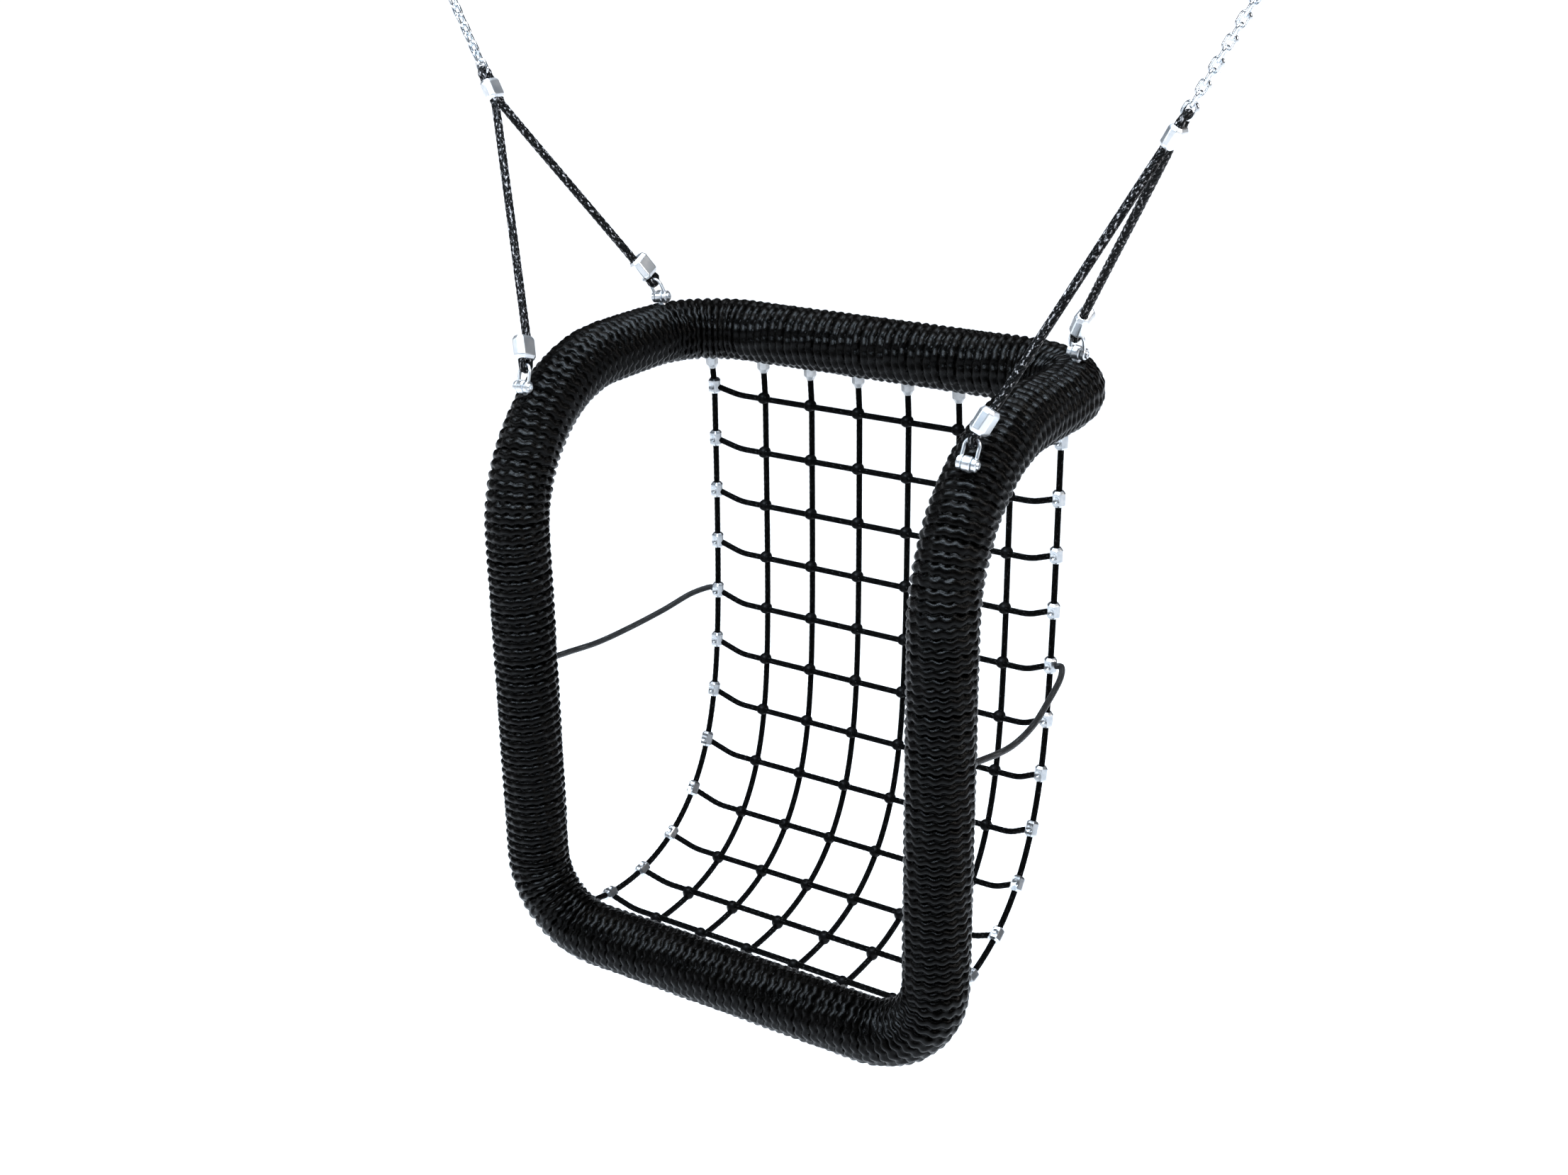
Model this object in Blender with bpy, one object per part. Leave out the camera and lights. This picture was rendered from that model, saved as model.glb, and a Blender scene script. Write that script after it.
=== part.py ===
"""Net swing seat for two chains.

A tube is bent into a closed ring and wound all round with rope. A rope net hangs inside it as back and
seat. Each side has a sling of braided rope, held by two shackles on the ring and by a chain above.
The swing axis runs along X through both hanger pins, at the origin. +Y is behind the sitter, +Z is up.
"""

import math

import bpy
import numpy as np
from mathutils import Matrix, Vector

# ---- driving dimensions, in metres -------------------------------------------------------------
MESH = 0.108  # side of one square of the net
GAP = 0.0003  # clearance between touching pieces

HALF_WIDTH = 4.05 * MESH  # ring centre line, from the middle to a leg
LEG_Y = -5.135 * MESH  # the legs and the front bar stand this far in front of the top bar
BAR_Z = -1.57 * MESH  # front bar, in the seat's own frame
ARM_Z = 8.33 * MESH  # arms and top bar
CORNER_R = 1.3 * MESH  # four corners of the ring, in plan or in front view
BEND_R = 2.6 * MESH  # bend from leg to arm
WINDING_R = 0.059  # outside of the rope winding
TUBE_R = 0.025
TUBE_BORE = 0.021
LAP = 0.010  # the winding's stretches meet this far outside the bends
RING_SIDES = 14
TUBE_SIDES = 8
LEAN = math.radians(1.25)  # the hanging seat's top leans forward this much

NET_ROPE_R = 0.006
NET_ROWS = 12
NET_COLUMNS = 6  # long ropes between the two edge ropes
EDGE_X = 3.497 * MESH
CLAMP_R = 0.0105
CLAMP_LENGTH = 0.031
CORNER_CLEARANCE = 0.003  # the edge ropes land where the ring already bends
CORD_ROW = 4  # the side cords leave the fifth clamp from the top

# The net hangs straight down and then turns forward: its slope is a smooth step along its length.
NET_MIDDLE = {"y": 0.0425, "z": 7.10, "turn": 1.750, "at": 8.606, "width": 1.1235, "row": 1.027}
NET_EDGE = {"y": -0.0856, "z": 7.236, "turn": 1.946, "at": 8.808, "width": 1.2943, "row": 1.0042}

LUG_ANGLE = math.radians(49)  # front lugs, up from the level on the bend
LUG_BACK = 0.868 * MESH  # rear lugs, in front of the top bar's centre line
LUG_SPLAY = math.radians(8)
PIN_HEIGHT = 0.0705  # shackle pin above the ring's centre line
BOSS_R = 0.011
BOSS_LENGTH = 0.016
STEM_R = 0.008
PIN_R = 0.0042
EAR_LENGTH = 0.0085
EAR_R = 0.0098
BOW_WIRE_R = 0.0031
BOW_HEIGHT = 0.040  # pin to the wire's centre at the crown

SLING_R = 0.008
STRAND_PITCH = 2 * SLING_R + 0.0004  # two strands side by side in a ferrule
LOWER_FERRULE = {"length": 0.044, "wide": 0.043, "thick": 0.028, "at": 0.071}
TOP_FERRULE = {"length": 0.038, "wide": 0.041, "thick": 0.025}
CROWN_SQUEEZE = 0.775  # the rope is pressed thinner where it bears on metal

SPLAY = math.radians(28.7)  # the chains lean outwards
TOP_FERRULE_X = 6.166 * MESH
WIRE_R = 0.003  # chain wire
LINK_PITCH = 0.0185
LINK_HALF_WIDTH = 0.0072  # centre line of the wire
LINK_BITE = 0.0002  # neighbouring links of the chain are joined by this much
CHAIN_LINKS = 11
END_LINK_AT = 0.031  # lower wire of the end link, above the middle of the top ferrule
END_LINK_LENGTH = 0.027
END_LINK_HALF_WIDTH = 0.0099

EYE_RING_R = 0.010
EYE_WIRE_R = 0.0034
EYE_DROP = 0.022  # hanger pin to the ring's centre
HANGER_PIN_R = 0.006
HANGER_BOSS_R = 0.011
HANGER_BOSS = 0.0275
PLATE = (0.100, 0.060, 0.006)
PLATE_TOP = 0.036
CHEEK = 0.005

X_AXIS = Vector((1, 0, 0))
Y_AXIS = Vector((0, 1, 0))
Z_AXIS = Vector((0, 0, 1))


def clear_scene():
    for thing in list(bpy.data.objects):
        bpy.data.objects.remove(thing, do_unlink=True)


# ---- materials ----------------------------------------------------------------------------------
MATERIALS = {
    "winding_rope": ((0.012, 0.012, 0.014), 0.45, 0.0),
    "net_rope": ((0.014, 0.014, 0.015), 0.55, 0.0),
    "sling_rope": ((0.03, 0.03, 0.033), 0.7, 0.0),
    "cord_rope": ((0.02, 0.02, 0.022), 0.6, 0.0),
    "aluminium": ((0.80, 0.82, 0.84), 0.30, 1.0),
    "zinc_steel": ((0.72, 0.74, 0.76), 0.28, 1.0),
    "tube_metal": ((0.60, 0.61, 0.62), 0.40, 1.0),
}


def material(name):
    made = bpy.data.materials.get(name)
    if made is None:
        colour, roughness, metallic = MATERIALS[name]
        made = bpy.data.materials.new(name)
        made.use_nodes = True
        shader = made.node_tree.nodes["Principled BSDF"]
        shader.inputs["Base Color"].default_value = (*colour, 1.0)
        shader.inputs["Roughness"].default_value = roughness
        shader.inputs["Metallic"].default_value = metallic
    return made


# ---- making objects -----------------------------------------------------------------------------
def add_mesh(name, vertices, faces, finish, smooth=True):
    mesh = bpy.data.meshes.new(name)
    mesh.from_pydata([tuple(v) for v in vertices], [], faces)
    mesh.validate()
    if smooth:
        mesh.shade_smooth()
        mesh.set_sharp_from_angle(angle=math.radians(35))
    mesh.materials.append(material(finish))
    made = bpy.data.objects.new(name, mesh)
    bpy.context.scene.collection.objects.link(made)
    return made


def add_rope(name, points, radius, finish, sides=8, radii=None):
    """A rope: a poly spline with a round bevel and filled ends."""
    curve = bpy.data.curves.new(name, "CURVE")
    curve.dimensions = "3D"
    curve.bevel_depth = radius
    curve.bevel_resolution = (sides - 4) // 2
    curve.use_fill_caps = True
    curve.render_resolution_u = 0
    spline = curve.splines.new("POLY")
    spline.points.add(len(points) - 1)
    for index, point in enumerate(points):
        spline.points[index].co = (*point, 1.0)
        if radii:
            spline.points[index].radius = radii[index]
    curve.materials.append(material(finish))
    made = bpy.data.objects.new(name, curve)
    bpy.context.scene.collection.objects.link(made)
    return made


def boolean(target, other, operation):
    """Join to or cut from target; the other object stays behind as a hidden guide."""
    step = target.modifiers.new(operation.lower(), "BOOLEAN")
    step.operation = operation
    step.object = other
    other.hide_render = True
    other.display_type = "WIRE"


def ring_frames(points, closed=False):
    """A tangent and two cross directions at each point, turned as little as possible along the path."""
    count = len(points)
    tangents = []
    for index in range(count):
        before = points[index - 1] if index or closed else points[index]
        after = points[(index + 1) % count] if index < count - 1 or closed else points[index]
        arriving = (points[index] - before).normalized()
        leaving = (after - points[index]).normalized()
        tangents.append((arriving + leaving).normalized())
    side = tangents[0].orthogonal().normalized()
    frames = []
    for tangent in tangents:
        side = (side - tangent * side.dot(tangent)).normalized()
        frames.append((tangent, side, tangent.cross(side)))
    return frames


def circle_points(centre, frame, radius, sides):
    _, side, up = frame
    turns = [2 * math.pi * k / sides for k in range(sides)]
    return [centre + side * (radius * math.cos(a)) + up * (radius * math.sin(a)) for a in turns]


def quad_band(first, second, sides):
    """Quads between two rings of vertices that start at the given indices."""
    return [(first + k, first + (k + 1) % sides, second + (k + 1) % sides, second + k) for k in range(sides)]


def add_hollow(name, points, outer, inner, sides, finish):
    """A tube with a bore, open at both ends, along a path."""
    frames = ring_frames(points)
    vertices, faces = [], []
    for radius in (outer, inner):
        for point, frame in zip(points, frames):
            vertices += circle_points(point, frame, radius, sides)
    last = len(points) - 1
    bore = len(points) * sides
    for index in range(last):
        low, high = index * sides, (index + 1) * sides
        faces += quad_band(low, high, sides)
        faces += quad_band(bore + high, bore + low, sides)
    faces += quad_band(bore, 0, sides)
    faces += quad_band(last * sides, bore + last * sides, sides)
    return add_mesh(name, vertices, faces, finish)


def add_wire(name, points, radius, sides, finish, closed=False):
    """A solid round bar along a path, open-ended or in a loop."""
    frames = ring_frames(points, closed)
    vertices, faces = [], []
    for point, frame in zip(points, frames):
        vertices += circle_points(point, frame, radius, sides)
    for index in range(len(points) - 1):
        faces += quad_band(index * sides, (index + 1) * sides, sides)
    last = (len(points) - 1) * sides
    if closed:
        faces += quad_band(last, 0, sides)
    else:
        faces.append(tuple(reversed(range(sides))))
        faces.append(tuple(range(last, last + sides)))
    return add_mesh(name, vertices, faces, finish)


def frame_matrix(origin, x_dir, z_dir):
    """A placement whose x and z run along the given directions, z exactly."""
    z_dir = z_dir.normalized()
    x_dir = (x_dir - z_dir * x_dir.dot(z_dir)).normalized()
    turned = Matrix((x_dir, z_dir.cross(x_dir), z_dir)).transposed().to_4x4()
    return Matrix.Translation(origin) @ turned


def add_turned(name, place, profile, sides, finish):
    """A profile of (radius, height) turned round the placement's z; both ends lie on the axis."""
    vertices, faces, starts = [], [], []
    for radius, height in profile:
        starts.append(len(vertices))
        if radius == 0:
            vertices.append(place @ Vector((0, 0, height)))
            continue
        for k in range(sides):
            turn = 2 * math.pi * (k + 0.5) / sides
            vertices.append(place @ Vector((radius * math.cos(turn), radius * math.sin(turn), height)))
    for index in range(len(profile) - 1):
        low, high = starts[index], starts[index + 1]
        if profile[index][0] == 0:
            faces += [(low, high + (k + 1) % sides, high + k) for k in range(sides)]
        elif profile[index + 1][0] == 0:
            faces += [(low + k, low + (k + 1) % sides, high) for k in range(sides)]
        else:
            faces += quad_band(low, high, sides)
    return add_mesh(name, vertices, faces, finish)


def add_box(name, low, high, finish):
    corners = [(x, y, z) for z in (low[2], high[2]) for y in (low[1], high[1]) for x in (low[0], high[0])]
    faces = [(0, 2, 3, 1), (4, 5, 7, 6), (0, 1, 5, 4), (2, 6, 7, 3), (0, 4, 6, 2), (1, 3, 7, 5)]
    return add_mesh(name, corners, faces, finish, smooth=False)


def add_bushing(name, centre, along, outer, inner, length, sides, finish):
    ends = [centre - along * (length / 2), centre + along * (length / 2)]
    return add_hollow(name, ends, outer, inner, sides, finish)


# ---- paths --------------------------------------------------------------------------------------
def arc(centre, start, end, steps):
    """Points of a quarter turn from centre + start to centre + end."""
    turns = [0.5 * math.pi * k / steps for k in range(steps + 1)]
    return [centre + start * math.cos(a) + end * math.sin(a) for a in turns]


def smooth_path(points, per_span):
    """A curve through the given points, sampled evenly in each span."""
    padded = [points[0] * 2 - points[1], *points, points[-1] * 2 - points[-2]]
    path = []
    for index in range(1, len(padded) - 2):
        a, b, c, d = padded[index - 1 : index + 3]
        for step in range(per_span):
            t = step / per_span
            path.append(
                0.5 * (2 * b + (c - a) * t + (2 * a - 5 * b + 4 * c - d) * t**2 + (3 * b - a - 3 * c + d) * t**3)
            )
    return [*path, points[-1]]


def mirrored(points, side):
    return [Vector((point.x * side, point.y, point.z)) for point in points]


def chain_point(distance, side=1):
    """A point on a chain's line, measured up from the middle of the top ferrule."""
    return Vector((side * (TOP_FERRULE_X + distance * math.sin(SPLAY)), 0, TOP_Z + distance * math.cos(SPLAY)))


# ---- heights worked out from the chain ------------------------------------------------------------
PIVOT_AT = END_LINK_AT + END_LINK_LENGTH  # the seat tilts about the end link's upper wire
LINK_LENGTH = LINK_PITCH + 2 * WIRE_R - LINK_BITE
FIRST_LINK_AT = PIVOT_AT - 2 * WIRE_R - 2 * GAP
CHAIN_TOP_AT = FIRST_LINK_AT + (CHAIN_LINKS - 1) * LINK_PITCH + LINK_LENGTH
RING_WIRE_AT = CHAIN_TOP_AT - WIRE_R - EYE_WIRE_R - 2 * GAP
RING_CENTRE_AT = RING_WIRE_AT + EYE_RING_R
TOP_Z = -EYE_DROP - RING_CENTRE_AT * math.cos(SPLAY)
HANGER_X = TOP_FERRULE_X + RING_CENTRE_AT * math.sin(SPLAY)
CHAIN_DIRECTION = Vector((math.sin(SPLAY), 0, math.cos(SPLAY)))

SEAT_TURN = Matrix.Rotation(LEAN, 4, "X")
SEAT_REFERENCE = Vector((0, -2.654, 12.669)) * MESH
SEAT_PLACE = Matrix.Translation(Vector((0, 0, TOP_Z)) - SEAT_TURN @ SEAT_REFERENCE) @ SEAT_TURN


def seat(x, y, z):
    """A point of the seat's own frame, where it hangs."""
    return SEAT_PLACE @ Vector((x, y, z))


# ---- ring ----------------------------------------------------------------------------------------
def ring_stretch(name, side):
    """Centre line of one stretch of the ring, in the seat's own frame, on the side given by the sign."""
    w, y, low, high = HALF_WIDTH, LEG_Y, BAR_Z, ARM_Z
    c, b = CORNER_R, BEND_R
    leg_low, leg_high = Vector((w, y, low + c + LAP)), Vector((w, y, high - b - LAP))
    arm_front = Vector((w, y + b + LAP, high))
    stretches = {
        "front_corner": [*arc(Vector((w - c, y, low + c)), Vector((0, 0, -c)), Vector((c, 0, 0)), 6), leg_low],
        "leg": [leg_low, leg_high],
        "bend": [leg_high, *arc(Vector((w, y + b, high - b)), Vector((0, -b, 0)), Vector((0, 0, b)), 9), arm_front],
        "rear_corner": [arm_front, *arc(Vector((w - c, -c, high)), Vector((c, 0, 0)), Vector((0, c, 0)), 6)],
    }
    return mirrored(stretches[name], side)


def placed(points):
    return [SEAT_PLACE @ point for point in points]


def trimmed(points):
    """The path without half a gap at each end, so that neighbours stay apart."""
    cut = GAP / 2
    first = points[0] + (points[1] - points[0]).normalized() * cut
    last = points[-1] + (points[-2] - points[-1]).normalized() * cut
    return [first, *points[1:-1], last]


def lug_place(which, side):
    """Foot on the ring's centre line and outward direction of a lug, where the seat hangs."""
    if which == "front":
        centre = Vector((HALF_WIDTH, LEG_Y + BEND_R, ARM_Z - BEND_R))
        outward = Vector((0, -math.cos(LUG_ANGLE), math.sin(LUG_ANGLE)))
        foot = centre + outward * BEND_R
    else:
        turn = math.asin((CORNER_R - LUG_BACK) / CORNER_R)
        foot = Vector((HALF_WIDTH - CORNER_R * (1 - math.cos(turn)), -LUG_BACK, ARM_Z))
        outward = Z_AXIS
    outward = (outward * math.cos(LUG_SPLAY) + X_AXIS * math.sin(LUG_SPLAY)).normalized()
    foot, outward = mirrored([foot, outward], side)
    return SEAT_PLACE @ foot, (SEAT_TURN.to_3x3() @ outward).normalized()


def build_ring():
    tube = [*reversed(ring_stretch("front_corner", -1)), *ring_stretch("front_corner", 1)]
    for side in (1, -1):
        stretch = []
        for name in ("leg", "bend", "rear_corner"):
            stretch += ring_stretch(name, side)
        if side == 1:
            tube += stretch
        else:
            tube = [*reversed(stretch), *tube]
    seam = Vector((0.0005, 0, ARM_Z))
    tube = [mirrored([seam], -1)[0], *tube, seam]
    clean = [tube[0]]
    for point in tube[1:]:
        if (point - clean[-1]).length > 1e-5:
            clean.append(point)
    add_hollow("frame_tube", placed(clean), TUBE_R, TUBE_BORE, TUBE_SIDES, "tube_metal")

    bore = (TUBE_R + 2 * GAP) / math.cos(math.pi / RING_SIDES)
    sections = {
        "winding_front_bar": [*reversed(ring_stretch("front_corner", -1)), *ring_stretch("front_corner", 1)],
        "winding_rear": [*ring_stretch("rear_corner", -1), *reversed(ring_stretch("rear_corner", 1))],
    }
    for side, hand in ((-1, "left"), (1, "right")):
        sections[f"winding_{hand}_leg"] = ring_stretch("leg", side)
        sections[f"winding_{hand}_bend"] = ring_stretch("bend", side)
    made = {}
    for name, points in sections.items():
        path = placed(trimmed(points))
        made[name] = add_hollow(name, path, WINDING_R, bore, RING_SIDES, "winding_rope")
    for side, hand in ((-1, "left"), (1, "right")):
        for which, section in (("front", f"winding_{hand}_bend"), ("rear", "winding_rear")):
            foot, outward = lug_place(which, side)
            reach = [foot + outward * (TUBE_R * 0.6), foot + outward * (WINDING_R + 0.004)]
            cutter = add_wire(f"cut_{hand}_{which}", reach, STEM_R + 2 * GAP, 8, "winding_rope")
            boolean(made[section], cutter, "DIFFERENCE")


# ---- shackles and slings -------------------------------------------------------------------------
def sling_direction(pin_centre, side):
    return (chain_point(0, side) - pin_centre).normalized()


def shackle_frame(which, side):
    """Pin centre, pin direction, the bow's upward direction and the rope's direction."""
    foot, outward = lug_place(which, side)
    pin_centre = foot + outward * PIN_HEIGHT
    along = (X_AXIS - outward * X_AXIS.dot(outward)).normalized()
    rope = sling_direction(pin_centre, side)
    up = (rope - along * rope.dot(along)).normalized()
    return foot, outward, pin_centre, along, up, rope


def build_shackle(which, side, hand):
    name = f"{hand}_{which}"
    foot, outward, centre, along, up, _ = shackle_frame(which, side)
    lug = add_bushing(f"{name}_lug", centre, along, BOSS_R, PIN_R + GAP, BOSS_LENGTH, 12, "zinc_steel")
    stem_ends = [foot + outward * (TUBE_R + 2 * GAP), centre - outward * (BOSS_R * 0.75)]
    stem = add_wire(f"guide_{name}_stem", stem_ends, STEM_R, 8, "zinc_steel")
    boolean(lug, stem, "UNION")

    ear_offset = BOSS_LENGTH / 2 + GAP + EAR_LENGTH / 2
    bow = add_bushing(
        f"{name}_bow", centre - along * ear_offset, along, EAR_R, PIN_R + GAP, EAR_LENGTH, 12, "zinc_steel"
    )
    other = add_bushing(
        f"guide_{name}_ear", centre + along * ear_offset, along, EAR_R, PIN_R + GAP, EAR_LENGTH, 12, "zinc_steel"
    )
    reach = ear_offset
    rise = BOW_HEIGHT - reach
    foot_height = (PIN_R + EAR_R) / 2
    crown = [
        centre + up * (rise + reach * math.sin(a)) - along * (reach * math.cos(a))
        for a in [math.pi * k / 8 for k in range(9)]
    ]
    legs = [centre - along * reach + up * foot_height, *crown, centre + along * reach + up * foot_height]
    wire = add_wire(f"guide_{name}_wire", legs, BOW_WIRE_R, 6, "zinc_steel")
    boolean(bow, other, "UNION")
    boolean(bow, wire, "UNION")

    half = BOSS_LENGTH / 2 + EAR_LENGTH + 2 * GAP
    head, socket = 0.0062, 0.0025
    profile = [
        (0, -half - 0.0015), (PIN_R, -half - 0.0015), (PIN_R, half), (head, half), (head, half + 0.003),
        (socket, half + 0.003), (socket, half), (0, half),
    ]
    place = frame_matrix(centre, up, along)
    add_turned(f"{name}_pin", place, profile, 10, "zinc_steel")


def chamfered(half_x, half_y, chamfer):
    """Eight corners of a rectangle with cut corners, counter-clockwise."""
    x, y, c = half_x, half_y, chamfer
    return [(x, -y + c), (x, y - c), (x - c, y), (-x + c, y), (-x, y - c), (-x, -y + c), (-x + c, -y), (x - c, -y)]


def add_ferrule(name, place, shape):
    """A pressed sleeve round two strands that lie side by side along the placement's x."""
    half = shape["length"] / 2
    wide, thick = shape["wide"] / 2, shape["thick"] / 2
    bore = chamfered(STRAND_PITCH / 2 + SLING_R + GAP, SLING_R + GAP, 0.003)
    shoulder = 0.007
    ends = chamfered(wide - 0.0035, thick - 0.0035, 0.005)
    belly = chamfered(wide, thick, 0.007)
    outer = [(ends, -half), (belly, -half + shoulder), (belly, half - shoulder), (ends, half)]
    rings = [*outer, (bore, half), (bore, -half)]
    vertices = [place @ Vector((x, y, height)) for ring, height in rings for x, y in ring]
    faces = []
    for index in range(len(rings)):
        faces += quad_band(index * 8, (index + 1) % len(rings) * 8, 8)
    return add_mesh(name, vertices, faces, "aluminium", smooth=False)


def eye_path(centre, toward, across, radius, steps):
    """A rope's turn round a bar, from one strand to the other, below the bar."""
    turns = [math.pi * k / steps for k in range(steps + 1)]
    return [centre + across * (radius * math.cos(a)) - toward * (radius * math.sin(a)) for a in turns]


def build_sling(side, hand):
    crown_r = SLING_R * CROWN_SQUEEZE
    top = chain_point(0, side)
    direction = mirrored([CHAIN_DIRECTION], side)[0]
    half_pitch = STRAND_PITCH / 2
    strands = []
    for which, sign in (("front", -1), ("rear", 1)):
        _, _, centre, along, up, rope = shackle_frame(which, side)
        across = along.cross(rope).normalized()
        if across.y * sign < 0:
            across.negate()
        bar = centre + up * BOW_HEIGHT
        turn_r = SLING_R * CROWN_SQUEEZE + BOW_WIRE_R + 2 * GAP
        ferrule = bar + rope * (LOWER_FERRULE["at"] - BOW_HEIGHT)
        low = ferrule - rope * (LOWER_FERRULE["length"] / 2)
        high = ferrule + rope * (LOWER_FERRULE["length"] / 2)
        tail = [high + across * half_pitch - rope * 0.001, ferrule + across * half_pitch, low + across * half_pitch]
        level = along.cross(up) * (1 if along.cross(up).dot(across) > 0 else -1)
        turn = list(reversed(eye_path(bar, up, -level, turn_r, 6)))
        riser = [low - across * half_pitch, ferrule - across * half_pitch, high - across * half_pitch]
        entry = top - direction * (TOP_FERRULE["length"] / 2 + 0.003) + Y_AXIS * (sign * half_pitch)
        riser.append(high - across * half_pitch + rope * 0.03)
        span = entry - direction * 0.03 + Y_AXIS * (sign * 0.010)
        strands.append((tail, turn, riser, span, entry))
        place = frame_matrix(ferrule, across, rope)
        add_ferrule(f"{hand}_{which}_ferrule", place, LOWER_FERRULE)
    add_ferrule(f"{hand}_top_ferrule", frame_matrix(top, Y_AXIS, direction), TOP_FERRULE)

    crown_centre = chain_point(END_LINK_AT, side)
    crown_turn = crown_r + WIRE_R + 2 * GAP
    crown = eye_path(crown_centre, -direction, -Y_AXIS, crown_turn, 6)
    path, radii = [], []

    def extend(points, radius):
        for point in points:
            path.append(point)
            radii.append(radius)

    for index, (tail, turn, riser, span, entry) in enumerate(strands):
        leg = [(tail, 1.0), (turn, CROWN_SQUEEZE), (riser, 1.0), ([span, entry, entry + direction * 0.040], 1.0)]
        if index:
            extend(crown, CROWN_SQUEEZE)
            leg = [(list(reversed(points)), radius) for points, radius in reversed(leg)]
        for points, radius in leg:
            extend(points, radius)
    add_rope(f"{hand}_sling", path, SLING_R, "sling_rope", 8, radii)


# ---- chains and hangers ---------------------------------------------------------------------------
def link_points(low, length, half_width, across, direction, steps):
    """Centre line of a link's wire: two half turns joined by straight sides."""
    straight = length - 2 * half_width
    points = []
    for turn in range(steps + 1):
        angle = math.pi * turn / steps
        points.append(low + direction * (half_width * (1 - math.sin(angle))) + across * (half_width * math.cos(angle)))
    for turn in range(steps + 1):
        angle = math.pi * turn / steps
        height = half_width + straight + half_width * math.sin(angle)
        points.append(low + direction * height - across * (half_width * math.cos(angle)))
    return points


def build_chain(side, hand):
    direction = mirrored([CHAIN_DIRECTION], side)[0]
    flat = Y_AXIS.cross(direction).normalized()
    end_link = link_points(
        chain_point(END_LINK_AT, side), END_LINK_LENGTH, END_LINK_HALF_WIDTH, flat, direction, 6
    )
    add_wire(f"{hand}_end_link", end_link, WIRE_R, 6, "zinc_steel", closed=True)
    chain = None
    for index in range(CHAIN_LINKS):
        low = chain_point(FIRST_LINK_AT + index * LINK_PITCH, side)
        across = flat if index % 2 else Y_AXIS
        points = link_points(low, LINK_LENGTH, LINK_HALF_WIDTH, across, direction, 4)
        name = f"guide_{hand}_link_{index}" if index else f"{hand}_chain"
        link = add_wire(name, points, WIRE_R, 6, "zinc_steel", closed=True)
        if chain is None:
            chain = link
        else:
            boolean(chain, link, "UNION")

    ring_centre = chain_point(RING_CENTRE_AT, side)
    pin_centre = Vector((side * HANGER_X, 0, 0))
    eye = add_bushing(
        f"{hand}_hanger_eye", pin_centre, X_AXIS, HANGER_BOSS_R, HANGER_PIN_R + GAP, HANGER_BOSS, 12, "zinc_steel"
    )
    turns = [2 * math.pi * k / 16 for k in range(16)]
    loop = [ring_centre + flat * (EYE_RING_R * math.cos(a)) + direction * (EYE_RING_R * math.sin(a)) for a in turns]
    ring = add_wire(f"guide_{hand}_ring", loop, EYE_WIRE_R, 8, "zinc_steel", closed=True)
    boolean(eye, ring, "UNION")

    half_boss = HANGER_BOSS / 2 + GAP
    grip = half_boss + CHEEK
    half_x, half_y, thick = PLATE[0] / 2, PLATE[1] / 2, PLATE[2]
    under = PLATE_TOP - thick
    middle = side * HANGER_X
    bracket = add_box(
        f"{hand}_hanger_bracket", (middle - half_x, -half_y, under), (middle + half_x, half_y, PLATE_TOP), "zinc_steel"
    )
    for end in (-1, 1):
        near, far = sorted((middle + end * half_boss, middle + end * grip))
        cheek = add_box(f"guide_{hand}_cheek_{end + 1}", (near, -0.016, -0.0095), (far, 0.016, under + 0.002), "zinc_steel")
        boolean(bracket, cheek, "UNION")
    bore = [pin_centre - X_AXIS * 0.03, pin_centre + X_AXIS * 0.03]
    boolean(bracket, add_wire(f"cut_{hand}_bore", bore, HANGER_PIN_R + GAP, 12, "zinc_steel"), "DIFFERENCE")
    reach, head = grip + GAP, 0.0095
    profile = [
        (0, -reach - 0.009), (HANGER_PIN_R, -reach - 0.009), (HANGER_PIN_R, reach), (head, reach),
        (head, reach + 0.006), (0, reach + 0.006),
    ]
    add_turned(f"{hand}_hanger_pin", frame_matrix(pin_centre, Z_AXIS, X_AXIS), profile, 12, "zinc_steel")


# ---- net -------------------------------------------------------------------------------------------
def net_line(shape):
    """Row points of one rope of the net, top to bottom, and each row's direction along the rope."""
    steps = 20
    along = np.arange((NET_ROWS - 1) * steps + 1) * (shape["row"] / steps)
    slope = shape["turn"] / (1 + np.exp(-(along - shape["at"]) / shape["width"]))
    middle = (slope[1:] + slope[:-1]) / 2
    step = shape["row"] / steps
    y = shape["y"] - np.concatenate([[0], np.cumsum(np.sin(middle))]) * step
    z = shape["z"] - np.concatenate([[0], np.cumsum(np.cos(middle))]) * step
    rows = [(y[k] * MESH, z[k] * MESH) for k in range(0, len(along), steps)]
    directions = [(-math.sin(slope[k]), -math.cos(slope[k])) for k in range(0, len(along), steps)]
    return rows, directions


def reach_bar(point, bar, radius):
    """Where a rope from a point towards a bar's centre meets the winding."""
    return bar + (point - bar).normalized() * (radius + 2 * GAP)


def ring_centre_at(x, where):
    """Centre of the top bar or the front bar at a distance x from the middle, corners included."""
    over = max(0.0, abs(x) - (HALF_WIDTH - CORNER_R))
    back = CORNER_R - math.sqrt(CORNER_R**2 - over**2)
    if where == "top":
        return Vector((x, -back, ARM_Z))
    return Vector((x, LEG_Y, BAR_Z + back))


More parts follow.
